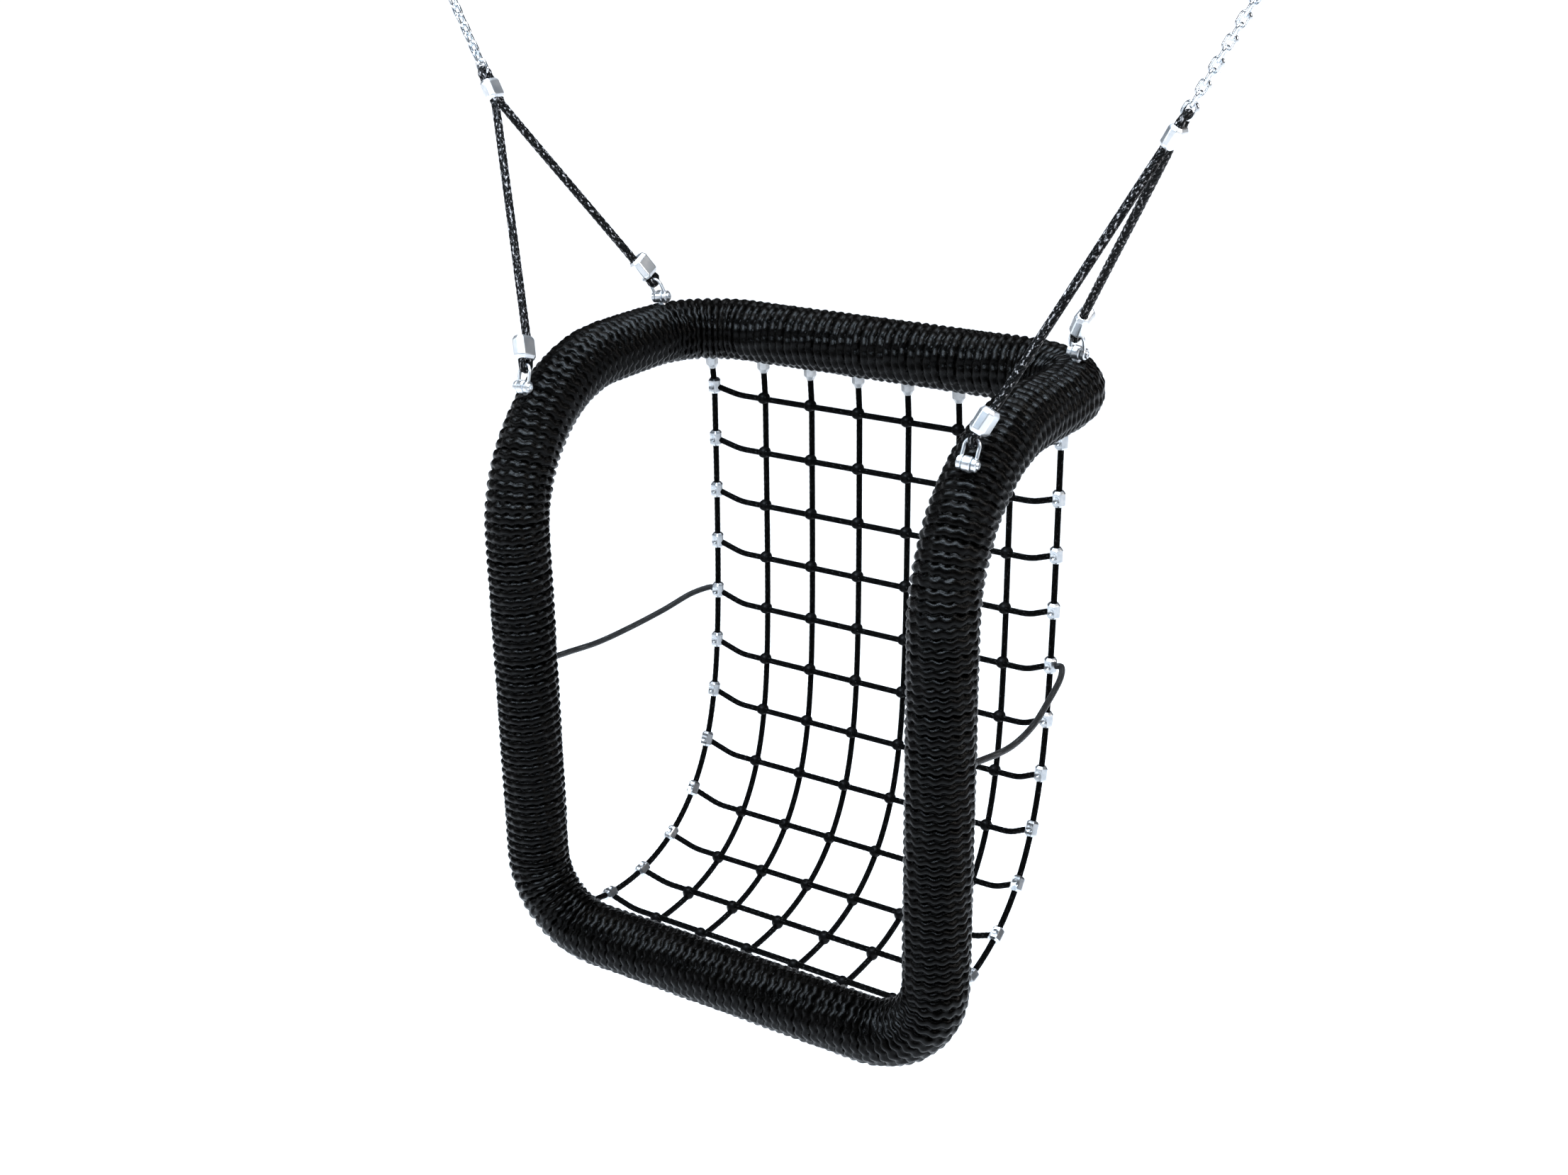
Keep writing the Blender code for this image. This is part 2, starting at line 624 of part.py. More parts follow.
def build_net():
    offset = NET_ROPE_R + GAP / 2 + 0.0001
    rows, directions = net_line(NET_MIDDLE)
    edge_rows, edge_directions = net_line(NET_EDGE)

    columns = [(k - (NET_COLUMNS - 1) / 2) * MESH for k in range(NET_COLUMNS)]
    for index, x in enumerate(columns):
        body = [
            Vector((x, y + offset * -dz, z + offset * dy)) for (y, z), (dy, dz) in zip(rows, directions)
        ]
        top = reach_bar(body[0], ring_centre_at(x, "top"), WINDING_R)
        low = reach_bar(body[-1], ring_centre_at(x, "front"), WINDING_R)
        add_rope(f"net_rope_{index + 2}", placed([top, *body, low]), NET_ROPE_R, "net_rope", 6)

    for side, index in ((-1, 1), (1, NET_COLUMNS + 2)):
        body, radii = [], []
        half, wide = CLAMP_LENGTH / 2, CLAMP_R / NET_ROPE_R
        for (y, z), (dy, dz) in zip(edge_rows, edge_directions):
            for shift, radius in ((-half, 1.0), (-half + 0.0008, wide), (half - 0.0008, wide), (half, 1.0)):
                body.append(Vector((side * EDGE_X, y + dy * shift, z + dz * shift)))
                radii.append(radius)
        top = reach_bar(body[0], ring_centre_at(side * EDGE_X, "top"), WINDING_R + CORNER_CLEARANCE)
        low = reach_bar(body[-1], ring_centre_at(side * EDGE_X, "front"), WINDING_R + CORNER_CLEARANCE)
        add_rope(
            f"net_rope_{index}", placed([top, *body, low]), NET_ROPE_R, "net_rope", 6, [1.0, *radii, 1.0]
        )

    kink_x, last_x = 3.0 * MESH, 2.5 * MESH
    for index in range(NET_ROWS):
        (y, z), (dy, dz) = rows[index], directions[index]
        inner = Vector((0, y + offset * dz, z - offset * dy))
        edge = Vector((EDGE_X, *edge_rows[index]))
        kink = inner + X_AXIS * kink_x
        end = edge + (kink - edge).normalized() * (CLAMP_R + 0.003)
        half = [inner + X_AXIS * last_x, kink, end]
        path = [*reversed(mirrored(half, -1)), *half]
        add_rope(f"cross_rope_{index + 1}", placed(path), NET_ROPE_R, "net_rope", 6)


# ---- side cords --------------------------------------------------------------------------------------
def side_cord_route():
    """Route of a side cord in the seat's own frame: out of its clamp, forward in a bow, to the leg."""
    clamp_y, clamp_z = net_line(NET_EDGE)[0][CORD_ROW]
    start = Vector((EDGE_X + CLAMP_R + 2 * GAP, clamp_y, clamp_z))
    straight = start + X_AXIS * (2 * NET_ROPE_R)
    between = [(3.87, -0.55, 3.18), (3.99, -1.25, 3.07), (4.12, -2.1, 2.99), (4.17, -3.0, 3.00), (4.13, -3.9, 3.14)]
    leg = Vector((HALF_WIDTH, LEG_Y, 3.25 * MESH))
    landing = [leg + Y_AXIS * (WINDING_R + reach) for reach in (2 * NET_ROPE_R, 3 * GAP)]
    return [start, straight, *(Vector(point) * MESH for point in between), *landing]


def build_side_cords():
    route = smooth_path(side_cord_route(), 4)
    for side, hand in ((-1, "left"), (1, "right")):
        add_rope(f"{hand}_side_cord", placed(mirrored(route, side)), NET_ROPE_R, "cord_rope", 8)


def main():
    clear_scene()
    build_ring()
    for side, hand in ((-1, "left"), (1, "right")):
        for which in ("front", "rear"):
            build_shackle(which, side, hand)
        build_sling(side, hand)
        build_chain(side, hand)
    build_net()
    build_side_cords()


main()
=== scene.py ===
import math

import bpy
import numpy as np
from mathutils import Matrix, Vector


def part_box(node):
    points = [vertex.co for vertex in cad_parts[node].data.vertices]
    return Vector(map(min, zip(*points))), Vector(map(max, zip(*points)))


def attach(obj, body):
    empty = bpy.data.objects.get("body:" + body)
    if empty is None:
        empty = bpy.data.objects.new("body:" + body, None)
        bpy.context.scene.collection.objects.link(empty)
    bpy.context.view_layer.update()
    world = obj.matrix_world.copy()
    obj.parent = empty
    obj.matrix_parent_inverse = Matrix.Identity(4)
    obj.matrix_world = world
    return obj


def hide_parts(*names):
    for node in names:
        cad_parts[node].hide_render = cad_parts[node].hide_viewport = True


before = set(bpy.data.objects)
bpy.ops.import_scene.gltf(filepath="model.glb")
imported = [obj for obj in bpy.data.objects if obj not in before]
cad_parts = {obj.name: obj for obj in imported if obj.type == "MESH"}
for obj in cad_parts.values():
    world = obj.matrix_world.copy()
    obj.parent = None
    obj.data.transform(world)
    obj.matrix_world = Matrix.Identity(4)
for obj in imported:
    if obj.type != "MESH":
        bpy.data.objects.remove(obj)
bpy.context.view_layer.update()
print("frame loaded")


# Ways to make a surface.
def unit(vectors):
    # each vector over its own length
    return vectors / np.linalg.norm(vectors, axis=-1, keepdims=True)


def runOf(points):
    # distance along a line at each of its points
    return np.concatenate([[0], np.cumsum(np.linalg.norm(np.diff(points, axis=0), axis=1))])


def pointsAt(points, marks):
    # the line's points at the given distances along it
    run = runOf(points)
    return np.stack([np.interp(marks, run, points[:, k]) for k in range(3)], axis=1)


def evenly(points, spacing):
    # the same line with points at equal steps of about the spacing
    points = np.asarray(points, float)
    length = runOf(points)[-1]
    return pointsAt(points, np.linspace(0, length, max(2, round(length / spacing) + 1)))


def flowing(points, perSpan=12):
    # between b and c: (2b + (c - a) t + (2a - 5b + 4c - d) t^2 + (3b - a - 3c + d) t^3) / 2, t from 0 to 1
    points = np.asarray(points, float)
    padded = np.vstack([2 * points[0] - points[1], points, 2 * points[-1] - points[-2]])
    a, b, c, d = (padded[k : len(points) - 1 + k, None] for k in range(4))
    t = (np.arange(perSpan) / perSpan)[None, :, None]
    spans = 0.5 * (2 * b + (c - a) * t + (2 * a - 5 * b + 4 * c - d) * t**2 + (3 * b - a - 3 * c + d) * t**3)
    return np.vstack([spans.reshape(-1, 3), points[-1]])


def softened(path, reach):
    # each point becomes the mean of its neighbours, as many as reach on either side; the ends stay put
    padded = np.vstack([np.repeat(path[:1], reach, axis=0), path, np.repeat(path[-1:], reach, axis=0)])
    window = np.ones(2 * reach + 1) / (2 * reach + 1)
    smooth = np.stack([np.convolve(padded[:, k], window, "valid") for k in range(3)], axis=1)
    smooth[0], smooth[-1] = path[0], path[-1]
    return smooth


def framesAlong(path, reference, closed=False):
    # tangent t, side = the reference less its part along t, and rise = t x side
    if closed:
        tangent = unit(np.roll(path, -1, axis=0) - np.roll(path, 1, axis=0))
    else:
        tangent = unit(np.vstack([path[1:], path[-1:]]) - np.vstack([path[:1], path[:-1]]))
    reference = np.broadcast_to(reference, tangent.shape)
    side = unit(reference - (reference * tangent).sum(axis=1, keepdims=True) * tangent)
    return tangent, side, np.cross(tangent, side)


def tube(path, radius, reference, columns, closed=False):
    # point = path + radius (cos a side + sin a rise), a going once round; the radius may change both ways
    path = np.asarray(path, float)
    _, side, rise = framesAlong(path, reference, closed)
    angle = 2 * math.pi * np.arange(columns) / columns
    radius = np.asarray(radius, float)
    if radius.ndim == 1:
        radius = radius[:, None]
    radius = np.broadcast_to(radius, (len(path), columns))[..., None]
    ring = np.cos(angle)[None, :, None] * side[:, None] + np.sin(angle)[None, :, None] * rise[:, None]
    return path[:, None] + radius * ring


def turned(centre, axis, reference, profile, columns, outline=None):
    # rows of (radius, height): point = centre + height axis + radius outline(a) (cos a side + sin a rise)
    profile = np.asarray(profile, float)
    axis = unit(np.asarray(axis, float))
    side = unit(reference - axis * np.dot(reference, axis))
    rise = np.cross(axis, side)
    angle = 2 * math.pi * np.arange(columns) / columns
    ring = np.cos(angle)[:, None] * side + np.sin(angle)[:, None] * rise
    if outline is not None:
        ring = ring * outline(angle)[:, None]
    return centre + profile[:, 1, None, None] * axis + profile[:, 0, None, None] * ring[None]


def hexagon(angle, rounding=1.1):
    # 1 / cos of the angle to the nearest flat's middle, cut off where the corners are rounded
    fromFlat = (angle + math.pi / 6) % (math.pi / 3) - math.pi / 6
    return np.minimum(1 / np.cos(fromFlat), rounding)


def shell(grid, closed=False, along=None):
    # quads between rows i and i + 1, columns closing on themselves; an open skin gets a cap at each end.
    # The map holds metres along the rows and turns, 0 to 1, round the columns.
    rows, columns = grid.shape[:2]
    if along is None:
        along = runOf(grid.mean(axis=1))
    index = np.arange(rows * columns).reshape(rows, columns)
    low, high = (index, np.roll(index, -1, axis=0)) if closed else (index[:-1], index[1:])
    lowAlong, highAlong = (along, np.roll(along, -1)) if closed else (along[:-1], along[1:])
    quads = np.stack([low, np.roll(low, -1, axis=1), np.roll(high, -1, axis=1), high], axis=-1)
    turns = np.arange(columns + 1) / columns
    u = np.stack([lowAlong, lowAlong, highAlong, highAlong], axis=-1)[:, None] * np.ones((1, columns, 1))
    v = np.stack([turns[:-1], turns[1:], turns[1:], turns[:-1]], axis=-1)[None] * np.ones((len(low), 1, 1))
    corners, sizes = quads.ravel(), np.full(quads.size // 4, 4)
    chart = np.stack([u, v], axis=-1).reshape(-1, 2)
    if not closed:
        corners = np.concatenate([corners, index[0][::-1], index[-1]])
        sizes = np.concatenate([sizes, [columns, columns]])
        first = np.stack([np.full(columns, along[0]), turns[:-1][::-1]], axis=1)
        last = np.stack([np.full(columns, along[-1]), turns[:-1]], axis=1)
        chart = np.vstack([chart, first, last])
    return {"points": grid.reshape(-1, 3), "corners": corners, "sizes": sizes, "chart": chart}


def makePiece(name, skins, finish, body, replaces=(), sharp=35, bevel=0.0):
    # one mesh of all the skins, riding on a body and standing for the named parts
    counts = np.cumsum([0] + [len(skin["points"]) for skin in skins[:-1]])
    corners = np.concatenate([skin["corners"] + start for skin, start in zip(skins, counts)])
    sizes = np.concatenate([skin["sizes"] for skin in skins])
    mesh = bpy.data.meshes.new(name)
    mesh.vertices.add(counts[-1] + len(skins[-1]["points"]))
    mesh.vertices.foreach_set("co", np.concatenate([skin["points"].ravel() for skin in skins]))
    mesh.loops.add(len(corners))
    mesh.loops.foreach_set("vertex_index", corners.astype(np.int32))
    mesh.polygons.add(len(sizes))
    mesh.polygons.foreach_set("loop_start", np.concatenate([[0], np.cumsum(sizes)[:-1]]).astype(np.int32))
    mesh.update(calc_edges=True)
    chart = np.concatenate([skin["chart"].ravel() for skin in skins])
    mesh.uv_layers.new(name="surface").data.foreach_set("uv", chart)
    mesh.validate()
    mesh.shade_smooth()
    mesh.set_sharp_from_angle(angle=math.radians(sharp))
    mesh.materials.append(finish)
    piece = bpy.data.objects.new(name, mesh)
    bpy.context.scene.collection.objects.link(piece)
    if bevel:
        edges = piece.modifiers.new("edges", "BEVEL")
        edges.width, edges.segments, edges.limit_method = bevel, 3, "ANGLE"
        edges.angle_limit = math.radians(20)
    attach(piece, body)
    if replaces:
        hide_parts(*replaces)
    return piece


# Finishes. Each is a small net of nodes: the shader's plain numbers sit on its own sockets.
def startFinish(name, look):
    made = bpy.data.materials.new(name)
    made.use_nodes = True
    shader = made.node_tree.nodes["Principled BSDF"]
    shader.inputs["Metallic"].default_value = look.get("metallic", 0.0)
    shader.inputs["Specular IOR Level"].default_value = look.get("specular", 0.5)
    return made, shader


def addNode(made, kind, **sockets):
    # a node with its inputs set or linked by name
    node = made.node_tree.nodes.new(kind)
    for key, value in sockets.items():
        socket = node.inputs[key]
        if isinstance(value, bpy.types.NodeSocket):
            made.node_tree.links.new(value, socket)
        else:
            socket.default_value = value
    return node


def reckon(made, operation, first, second=0.0):
    # one sum of arithmetic on two values or sockets
    node = made.node_tree.nodes.new("ShaderNodeMath")
    node.operation = operation
    for socket, value in zip(node.inputs, (first, second)):
        if isinstance(value, bpy.types.NodeSocket):
            made.node_tree.links.new(value, socket)
        else:
            socket.default_value = value
    return node.outputs[0]


def noise(made, coordinates, scale=1.0, detail=2.0):
    return addNode(made, "ShaderNodeTexNoise", Vector=coordinates, Scale=scale, Detail=detail).outputs["Fac"]


def drawnOut(made, coordinates, scale, detail=2.0):
    # noise with its own scale along and round the surface, so that its grains become streaks
    mapping = addNode(made, "ShaderNodeMapping", Vector=coordinates, Scale=scale)
    return noise(made, mapping.outputs["Vector"], detail=detail)


def ramp(made, factor, low, high, start=0.3, end=0.7):
    # from one colour to another as the factor goes from start to end
    node = addNode(made, "ShaderNodeValToRGB", Fac=factor)
    node.color_ramp.elements[0].position, node.color_ramp.elements[1].position = start, end
    node.color_ramp.elements[0].color, node.color_ramp.elements[1].color = (*low, 1), (*high, 1)
    return node.outputs["Color"]


def between(made, factor, low, high):
    # a plain number from low to high as the factor goes from 0 to 1
    node = addNode(made, "ShaderNodeMapRange", Value=factor)
    node.inputs["To Min"].default_value, node.inputs["To Max"].default_value = low, high
    return node.outputs["Result"]


def finishSurface(made, shader, colour, roughness, height, strength, distance):
    # the nets of a finish meet on the shader: colour, polish, and relief as a bump
    links = made.node_tree.links
    bump = addNode(made, "ShaderNodeBump", Strength=strength, Distance=distance, Height=height)
    links.new(colour, shader.inputs["Base Color"])
    links.new(roughness, shader.inputs["Roughness"])
    links.new(bump.outputs["Normal"], shader.inputs["Normal"])
    return made


def ropeFinish(name, look):
    # strands cross as sqrt(|cos p| |cos q|), p and q = pi (n v +- u / lay), on the map's u and v;
    # fibres and flecks are noise drawn out along u, and flecks show on the strands' crowns
    made, shader = startFinish(name, look)
    chart = addNode(made, "ShaderNodeUVMap").outputs["UV"]
    parts = addNode(made, "ShaderNodeSeparateXYZ", Vector=chart)
    around = reckon(made, "MULTIPLY", parts.outputs["Y"], math.pi * look["strands"])
    onward = reckon(made, "MULTIPLY", parts.outputs["X"], math.pi / look["lay"])
    first = reckon(made, "ABSOLUTE", reckon(made, "COSINE", reckon(made, "ADD", around, onward)))
    second = reckon(made, "ABSOLUTE", reckon(made, "COSINE", reckon(made, "SUBTRACT", around, onward)))
    weave = reckon(made, "SQRT", reckon(made, "MULTIPLY", first, second))
    fibres = drawnOut(made, chart, look["fibres"], 3.0)
    flecks = drawnOut(made, chart, look["flecks"])
    ground = ramp(made, fibres, look["dark"], look["light"])
    speck = addNode(made, "ShaderNodeMapRange", Value=flecks)
    speck.inputs["From Min"].default_value = look["fleckFrom"]
    speck.inputs["From Max"].default_value = look["fleckTo"]
    shown = reckon(made, "MULTIPLY", speck.outputs["Result"], weave)
    colour = made.node_tree.nodes.new("ShaderNodeMix")
    colour.data_type = "RGBA"
    made.node_tree.links.new(shown, colour.inputs["Factor"])
    made.node_tree.links.new(ground, colour.inputs["A"])
    colour.inputs["B"].default_value = (*look["fleck"], 1)
    roughness = between(made, fibres, look["roughness"] - 0.1, look["roughness"] + 0.1)
    relief = reckon(made, "ADD", weave, reckon(made, "MULTIPLY", fibres, 0.4))
    return finishSurface(made, shader, colour.outputs["Result"], roughness, relief, 0.8, look["relief"])


def windingFinish(name, look):
    # short fibres lie across each turn of rope; slow noise varies their shade from brown-grey to blue-black
    made, shader = startFinish(name, look)
    chart = addNode(made, "ShaderNodeUVMap").outputs["UV"]
    fibres = drawnOut(made, chart, look["fibres"], 3.0)
    strands = drawnOut(made, chart, look["strands"])
    patches = drawnOut(made, chart, look["patches"])
    shade = reckon(made, "MULTIPLY", fibres, patches)
    colour = ramp(made, shade, look["dark"], look["light"], 0.12, 0.45)
    roughness = between(made, strands, look["roughness"] - 0.12, look["roughness"] + 0.14)
    relief = reckon(made, "ADD", fibres, strands)
    return finishSurface(made, shader, colour, roughness, relief, 0.55, look["relief"])


def metalFinish(name, look):
    # a fine cast or drawn grain, and broad cloudy patches in shade and polish; moulded plastic has them too
    made, shader = startFinish(name, look)
    place = addNode(made, "ShaderNodeTexCoord").outputs["Object"]
    grain = noise(made, place, look["grain"], 4.0)
    cloud = noise(made, place, look["cloud"])
    colour = ramp(made, cloud, look["dark"], look["light"])
    mixed = reckon(made, "MULTIPLY", reckon(made, "ADD", grain, cloud), 0.5)
    roughness = between(made, mixed, look["roughness"] - 0.08, look["roughness"] + 0.08)
    return finishSurface(made, shader, colour, roughness, grain, 0.25, look["relief"])


looks = {
    "winding": {
        "roughness": 0.23, "dark": (0.0001, 0.0001, 0.0001), "light": (0.0012, 0.0010, 0.0008),
        "fibres": (220, 900, 1), "strands": (900, 60, 1), "patches": (25, 9, 1), "relief": 0.0005,
        "specular": 0.065,
    },
    "net": {
        "roughness": 0.36, "dark": (0.0001, 0.0001, 0.0001), "light": (0.0010, 0.0010, 0.0010), "strands": 8,
        "lay": 0.0055, "fibres": (300, 40, 1), "flecks": (120, 14, 1), "fleckFrom": 0.60, "fleckTo": 0.72,
        "fleck": (0.04, 0.04, 0.04), "relief": 0.0012, "specular": 0.015,
    },
    "sling": {
        "roughness": 0.36, "dark": (0.0003, 0.0003, 0.0003), "light": (0.003, 0.003, 0.003), "strands": 6,
        "lay": 0.0105, "fibres": (260, 36, 1), "flecks": (130, 11, 1), "fleckFrom": 0.565, "fleckTo": 0.66,
        "fleck": (0.36, 0.34, 0.34), "relief": 0.0012, "specular": 0.06,
    },
    "cord": {
        "roughness": 0.38, "dark": (0.006, 0.006, 0.006), "light": (0.022, 0.022, 0.022), "strands": 8,
        "lay": 0.006, "fibres": (40, 30, 1), "flecks": (30, 12, 1), "fleckFrom": 0.55, "fleckTo": 0.75,
        "fleck": (0.10, 0.10, 0.10), "relief": 0.0006, "specular": 0.12,
    },
    "aluminium": {
        "metallic": 1.0, "roughness": 0.38, "dark": (0.68, 0.72, 0.76), "light": (0.82, 0.82, 0.82),
        "grain": 900, "cloud": 45, "relief": 0.0002,
    },
    "zinc": {
        "metallic": 1.0, "roughness": 0.34, "dark": (0.62, 0.66, 0.70), "light": (0.80, 0.81, 0.82),
        "grain": 1400, "cloud": 90, "relief": 0.0002,
    },
    "chain": {
        "metallic": 1.0, "roughness": 0.20, "dark": (0.60, 0.65, 0.70), "light": (0.84, 0.85, 0.86),
        "grain": 1400, "cloud": 90, "relief": 0.0002,
    },
    "clamp": {
        "metallic": 1.0, "roughness": 0.30, "dark": (0.40, 0.43, 0.46), "light": (0.56, 0.57, 0.58),
        "grain": 1100, "cloud": 120, "relief": 0.0003,
    },
    "ferrule": {
        "metallic": 1.0, "roughness": 0.36, "dark": (0.30, 0.31, 0.32), "light": (0.44, 0.44, 0.44),
        "grain": 1000, "cloud": 110, "relief": 0.0003,
    },
    "tube": {
        "metallic": 1.0, "roughness": 0.42, "dark": (0.52, 0.53, 0.54), "light": (0.66, 0.67, 0.68),
        "grain": 700, "cloud": 30, "relief": 0.0002,
    },
    "ball": {
        "roughness": 0.45, "dark": (0.0005, 0.0005, 0.0006), "light": (0.0018, 0.0018, 0.0019),
        "grain": 1500, "cloud": 60, "relief": 0.0003, "specular": 0.05,
    },
}
finishes = {}
for name, look in looks.items():
    if name == "winding":
        finishes[name] = windingFinish("windingFinish", look)
    elif "lay" in look:
        finishes[name] = ropeFinish(f"{name}Finish", look)
    else:
        finishes[name] = metalFinish(f"{name}Finish", look)
for name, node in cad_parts.items():
    finish = "tube" if name == "frame_tube" else "zinc"
    for place in node.material_slots:
        place.material = finishes[finish]
print("finishes made")

# Camera: at the height of the hangers, in front and to the right of the seat, looking down into it.
camera = {"position": (1.7500, -2.7363, 0.0867), "forward": (-0.5112, 0.7881, -0.3429), "lens": 43.70}
cameraData = bpy.data.cameras.new("camera")
cameraData.lens, cameraData.sensor_width, cameraData.clip_end = camera["lens"], 36.0, 200.0
cameraObject = bpy.data.objects.new("camera", cameraData)
cameraObject.location = camera["position"]
cameraObject.rotation_euler = Vector(camera["forward"]).to_track_quat("-Z", "Y").to_euler()
bpy.context.scene.collection.objects.link(cameraObject)
bpy.context.scene.camera = cameraObject

# The seat has a frame of its own, turned by its lean about x. Most of its lengths count squares of the net.
square = 0.108
seat = {
    "halfWidth": 4.05 * square, "legY": -5.135 * square, "barZ": -1.57 * square, "armZ": 8.33 * square,
    "cornerR": 1.3 * square, "bendR": 2.6 * square, "lap": 0.010, "lean": math.radians(1.25),
    "topFerrule": np.array([6.166, -2.654, 12.669]) * square,
}
ferruleLow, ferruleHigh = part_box("right_top_ferrule")
chainFoot = np.array((ferruleLow + ferruleHigh) / 2)
leanCos, leanSin = math.cos(seat["lean"]), math.sin(seat["lean"])
seatTurn = np.array([[1, 0, 0], [0, leanCos, -leanSin], [0, leanSin, leanCos]])
seatShift = np.array([0, 0, chainFoot[2]]) - seatTurn @ (seat["topFerrule"] * [0, 1, 1])
xAxis, yAxis, zAxis = np.eye(3)
hands = (("left", -1), ("right", 1))


def hung(points):
    # from the seat's own frame to where it hangs
    return np.asarray(points, float) @ seatTurn.T + seatShift


def flipped(points, side):
    # the right hand's points on the left when the side is -1
    return np.asarray(points, float) * [side, 1, 1]


# Side cords, each from its clamp on the edge rope forward to the leg.
sideCord = {
    "radius": 0.006, "columns": 16, "spacing": 0.002, "strands": 8, "lay": 0.012, "strandRelief": 0.0003,
    "length": 0.503, "diameter": 0.0118,
}
cordRoute = [
    (0.3888, -0.0156, 0.3478), (0.4008, -0.0156, 0.3478), (3.87 * square, -0.55 * square, 3.18 * square),
    (3.99 * square, -1.25 * square, 3.07 * square), (4.12 * square, -2.1 * square, 2.99 * square),
    (4.17 * square, -3.0 * square, 3.00 * square), (4.13 * square, -3.9 * square, 3.14 * square),
    (0.4374, -0.4836, 3.25 * square), (0.4374, -0.4947, 3.25 * square),
]


def strandBumps(path, radius, rope):
    # crossing strands: r = radius - relief (1 - sqrt(|cos p cos q|)), p and q = pi (n v +- u / lay)
    turns = np.arange(rope["columns"]) / rope["columns"]
    around = math.pi * rope["strands"] * turns[None]
    onward = math.pi * runOf(path)[:, None] / rope["lay"]
    weave = np.sqrt(np.abs(np.cos(around + onward) * np.cos(around - onward)))
    radius = np.broadcast_to(np.asarray(radius, float), (len(path),))
    return radius[:, None] - rope["strandRelief"] * (1 - weave)


for hand, side in hands:
    path = evenly(hung(flipped(flowing(cordRoute, 16), side)), sideCord["spacing"])
    skin = shell(tube(path, strandBumps(path, sideCord["radius"], sideCord), zAxis, sideCord["columns"]))
    cord = makePiece(
        f"{hand}SideCord", [skin], finishes["cord"], "seat", [f"{hand}_side_cord"], 60
    )
print("side cords made", round(float(runOf(path)[-1]), 3), "m each")


# The ring: its centre line, closed, from the foot of the right leg up, round the back and down.
def quarter(centre, start, end, count=24):
    # centre + cos(t) start + sin(t) end, t from 0 to a quarter turn
    centre, start, end = (np.asarray(vector, float) for vector in (centre, start, end))
    t = np.linspace(0, math.pi / 2, count)[:, None]
    return centre + np.cos(t) * start + np.sin(t) * end


width, legY, barZ, armZ = seat["halfWidth"], seat["legY"], seat["barZ"], seat["armZ"]
cornerR, bendR, lap = seat["cornerR"], seat["bendR"], seat["lap"]
legFoot = [width, legY, barZ + cornerR + lap]
legHead = [width, legY, armZ - bendR - lap]
armFront = [width, legY + bendR + lap, armZ]
frontCorner = quarter((width - cornerR, legY, barZ + cornerR), (0, 0, -cornerR), (cornerR, 0, 0))
bend = quarter((width, legY + bendR, armZ - bendR), (0, -bendR, 0), (0, 0, bendR), 36)
rearCorner = quarter((width - cornerR, -cornerR, armZ), (cornerR, 0, 0), (0, cornerR, 0))
climbing = np.vstack([[legFoot], bend, rearCorner])
ringLine = np.vstack([climbing, flipped(climbing, -1)[::-1], flipped(frontCorner, -1)[::-1], frontCorner])

# The winding: one rope in close turns, with tight lumps along it and a scalloped edge to each turn.
winding = {
    "turnWidth": 0.0168, "rowsPerTurn": 10, "columns": 120, "radius": 0.0597, "bore": 0.0262, "innerStep": 12,
    "groove": 0.0094, "lumpsPerTurn": 15.08, "lump": 0.0022, "halfTurn": 0.53, "swell": 0.03,
    "wander": 0.115, "scallop": 1.9, "cusp": 0.02, "level": 1.2,
    "beats": (131, 317, 523), "jitter": 1.2, "drift": 0.10, "unevenness": 0.0004,
}


def windingRadius(along, turns, count):
    # Turn number n is an arch: r = R - groove (1 - sqrt(1 - (u + w)^2 / h^2)) - lump (1 + cos q) / 2, with
    # u the place across the turn and q once round for each lump. Half its width is halfTurn + swell cos q,
    # w = wander (scallop sqrt(sin(q / 2)^2 + cusp) - level), and a slow sum of sines makes all of it uneven.
    lumps = round(winding["lumpsPerTurn"] * count) / count
    beats = winding["beats"]
    place = along[:, None] * count - turns[None]
    nearest = np.floor(place + 0.5)
    best = np.zeros(place.shape)
    for step in (-1, 0, 1):
        number = nearest + step
        onRope = (number + turns[None]) / count
        slow = sum(np.sin(2 * math.pi * (onRope * beat + beat / 7)) for beat in beats) / len(beats)
        q = 2 * math.pi * onRope * count * lumps + winding["jitter"] * slow
        scallop = winding["scallop"] * np.sqrt(np.sin(q / 2) ** 2 + winding["cusp"])
        shift = winding["wander"] * (scallop - winding["level"]) + winding["drift"] * slow
        half = winding["halfTurn"] + winding["swell"] * (np.cos(q) + slow)
        arch = np.sqrt(np.clip(1 - ((place - number + shift) / half) ** 2, 0, 1))
        height = winding["radius"] - winding["groove"] * (1 - arch) - winding["lump"] * (1 + np.cos(q)) / 2
        best = np.maximum(best, height - winding["unevenness"] * slow)
    return best


ringLength = runOf(np.vstack([ringLine, ringLine[:1]]))[-1]
turnCount = round(ringLength / winding["turnWidth"])
ringRows = turnCount * winding["rowsPerTurn"]
ringPath = pointsAt(np.vstack([ringLine, ringLine[:1]]), np.arange(ringRows) * ringLength / ringRows)
ringMiddle = np.array([0, legY / 2, (barZ + armZ) / 2])
_, ringSide, ringRise = framesAlong(ringPath, ringPath - ringMiddle, closed=True)
turns = np.arange(winding["columns"]) / winding["columns"]
outward = (
    np.cos(2 * math.pi * turns)[None, :, None] * ringSide[:, None]
    + np.sin(2 * math.pi * turns)[None, :, None] * ringRise[:, None]
)
ringRadius = windingRadius(np.arange(ringRows) / ringRows, turns, turnCount)


def nearestRow(point):
    # the ring's row closest to a point
    return int(np.argmin(np.linalg.norm(ringPath - np.asarray(point, float), axis=1)))


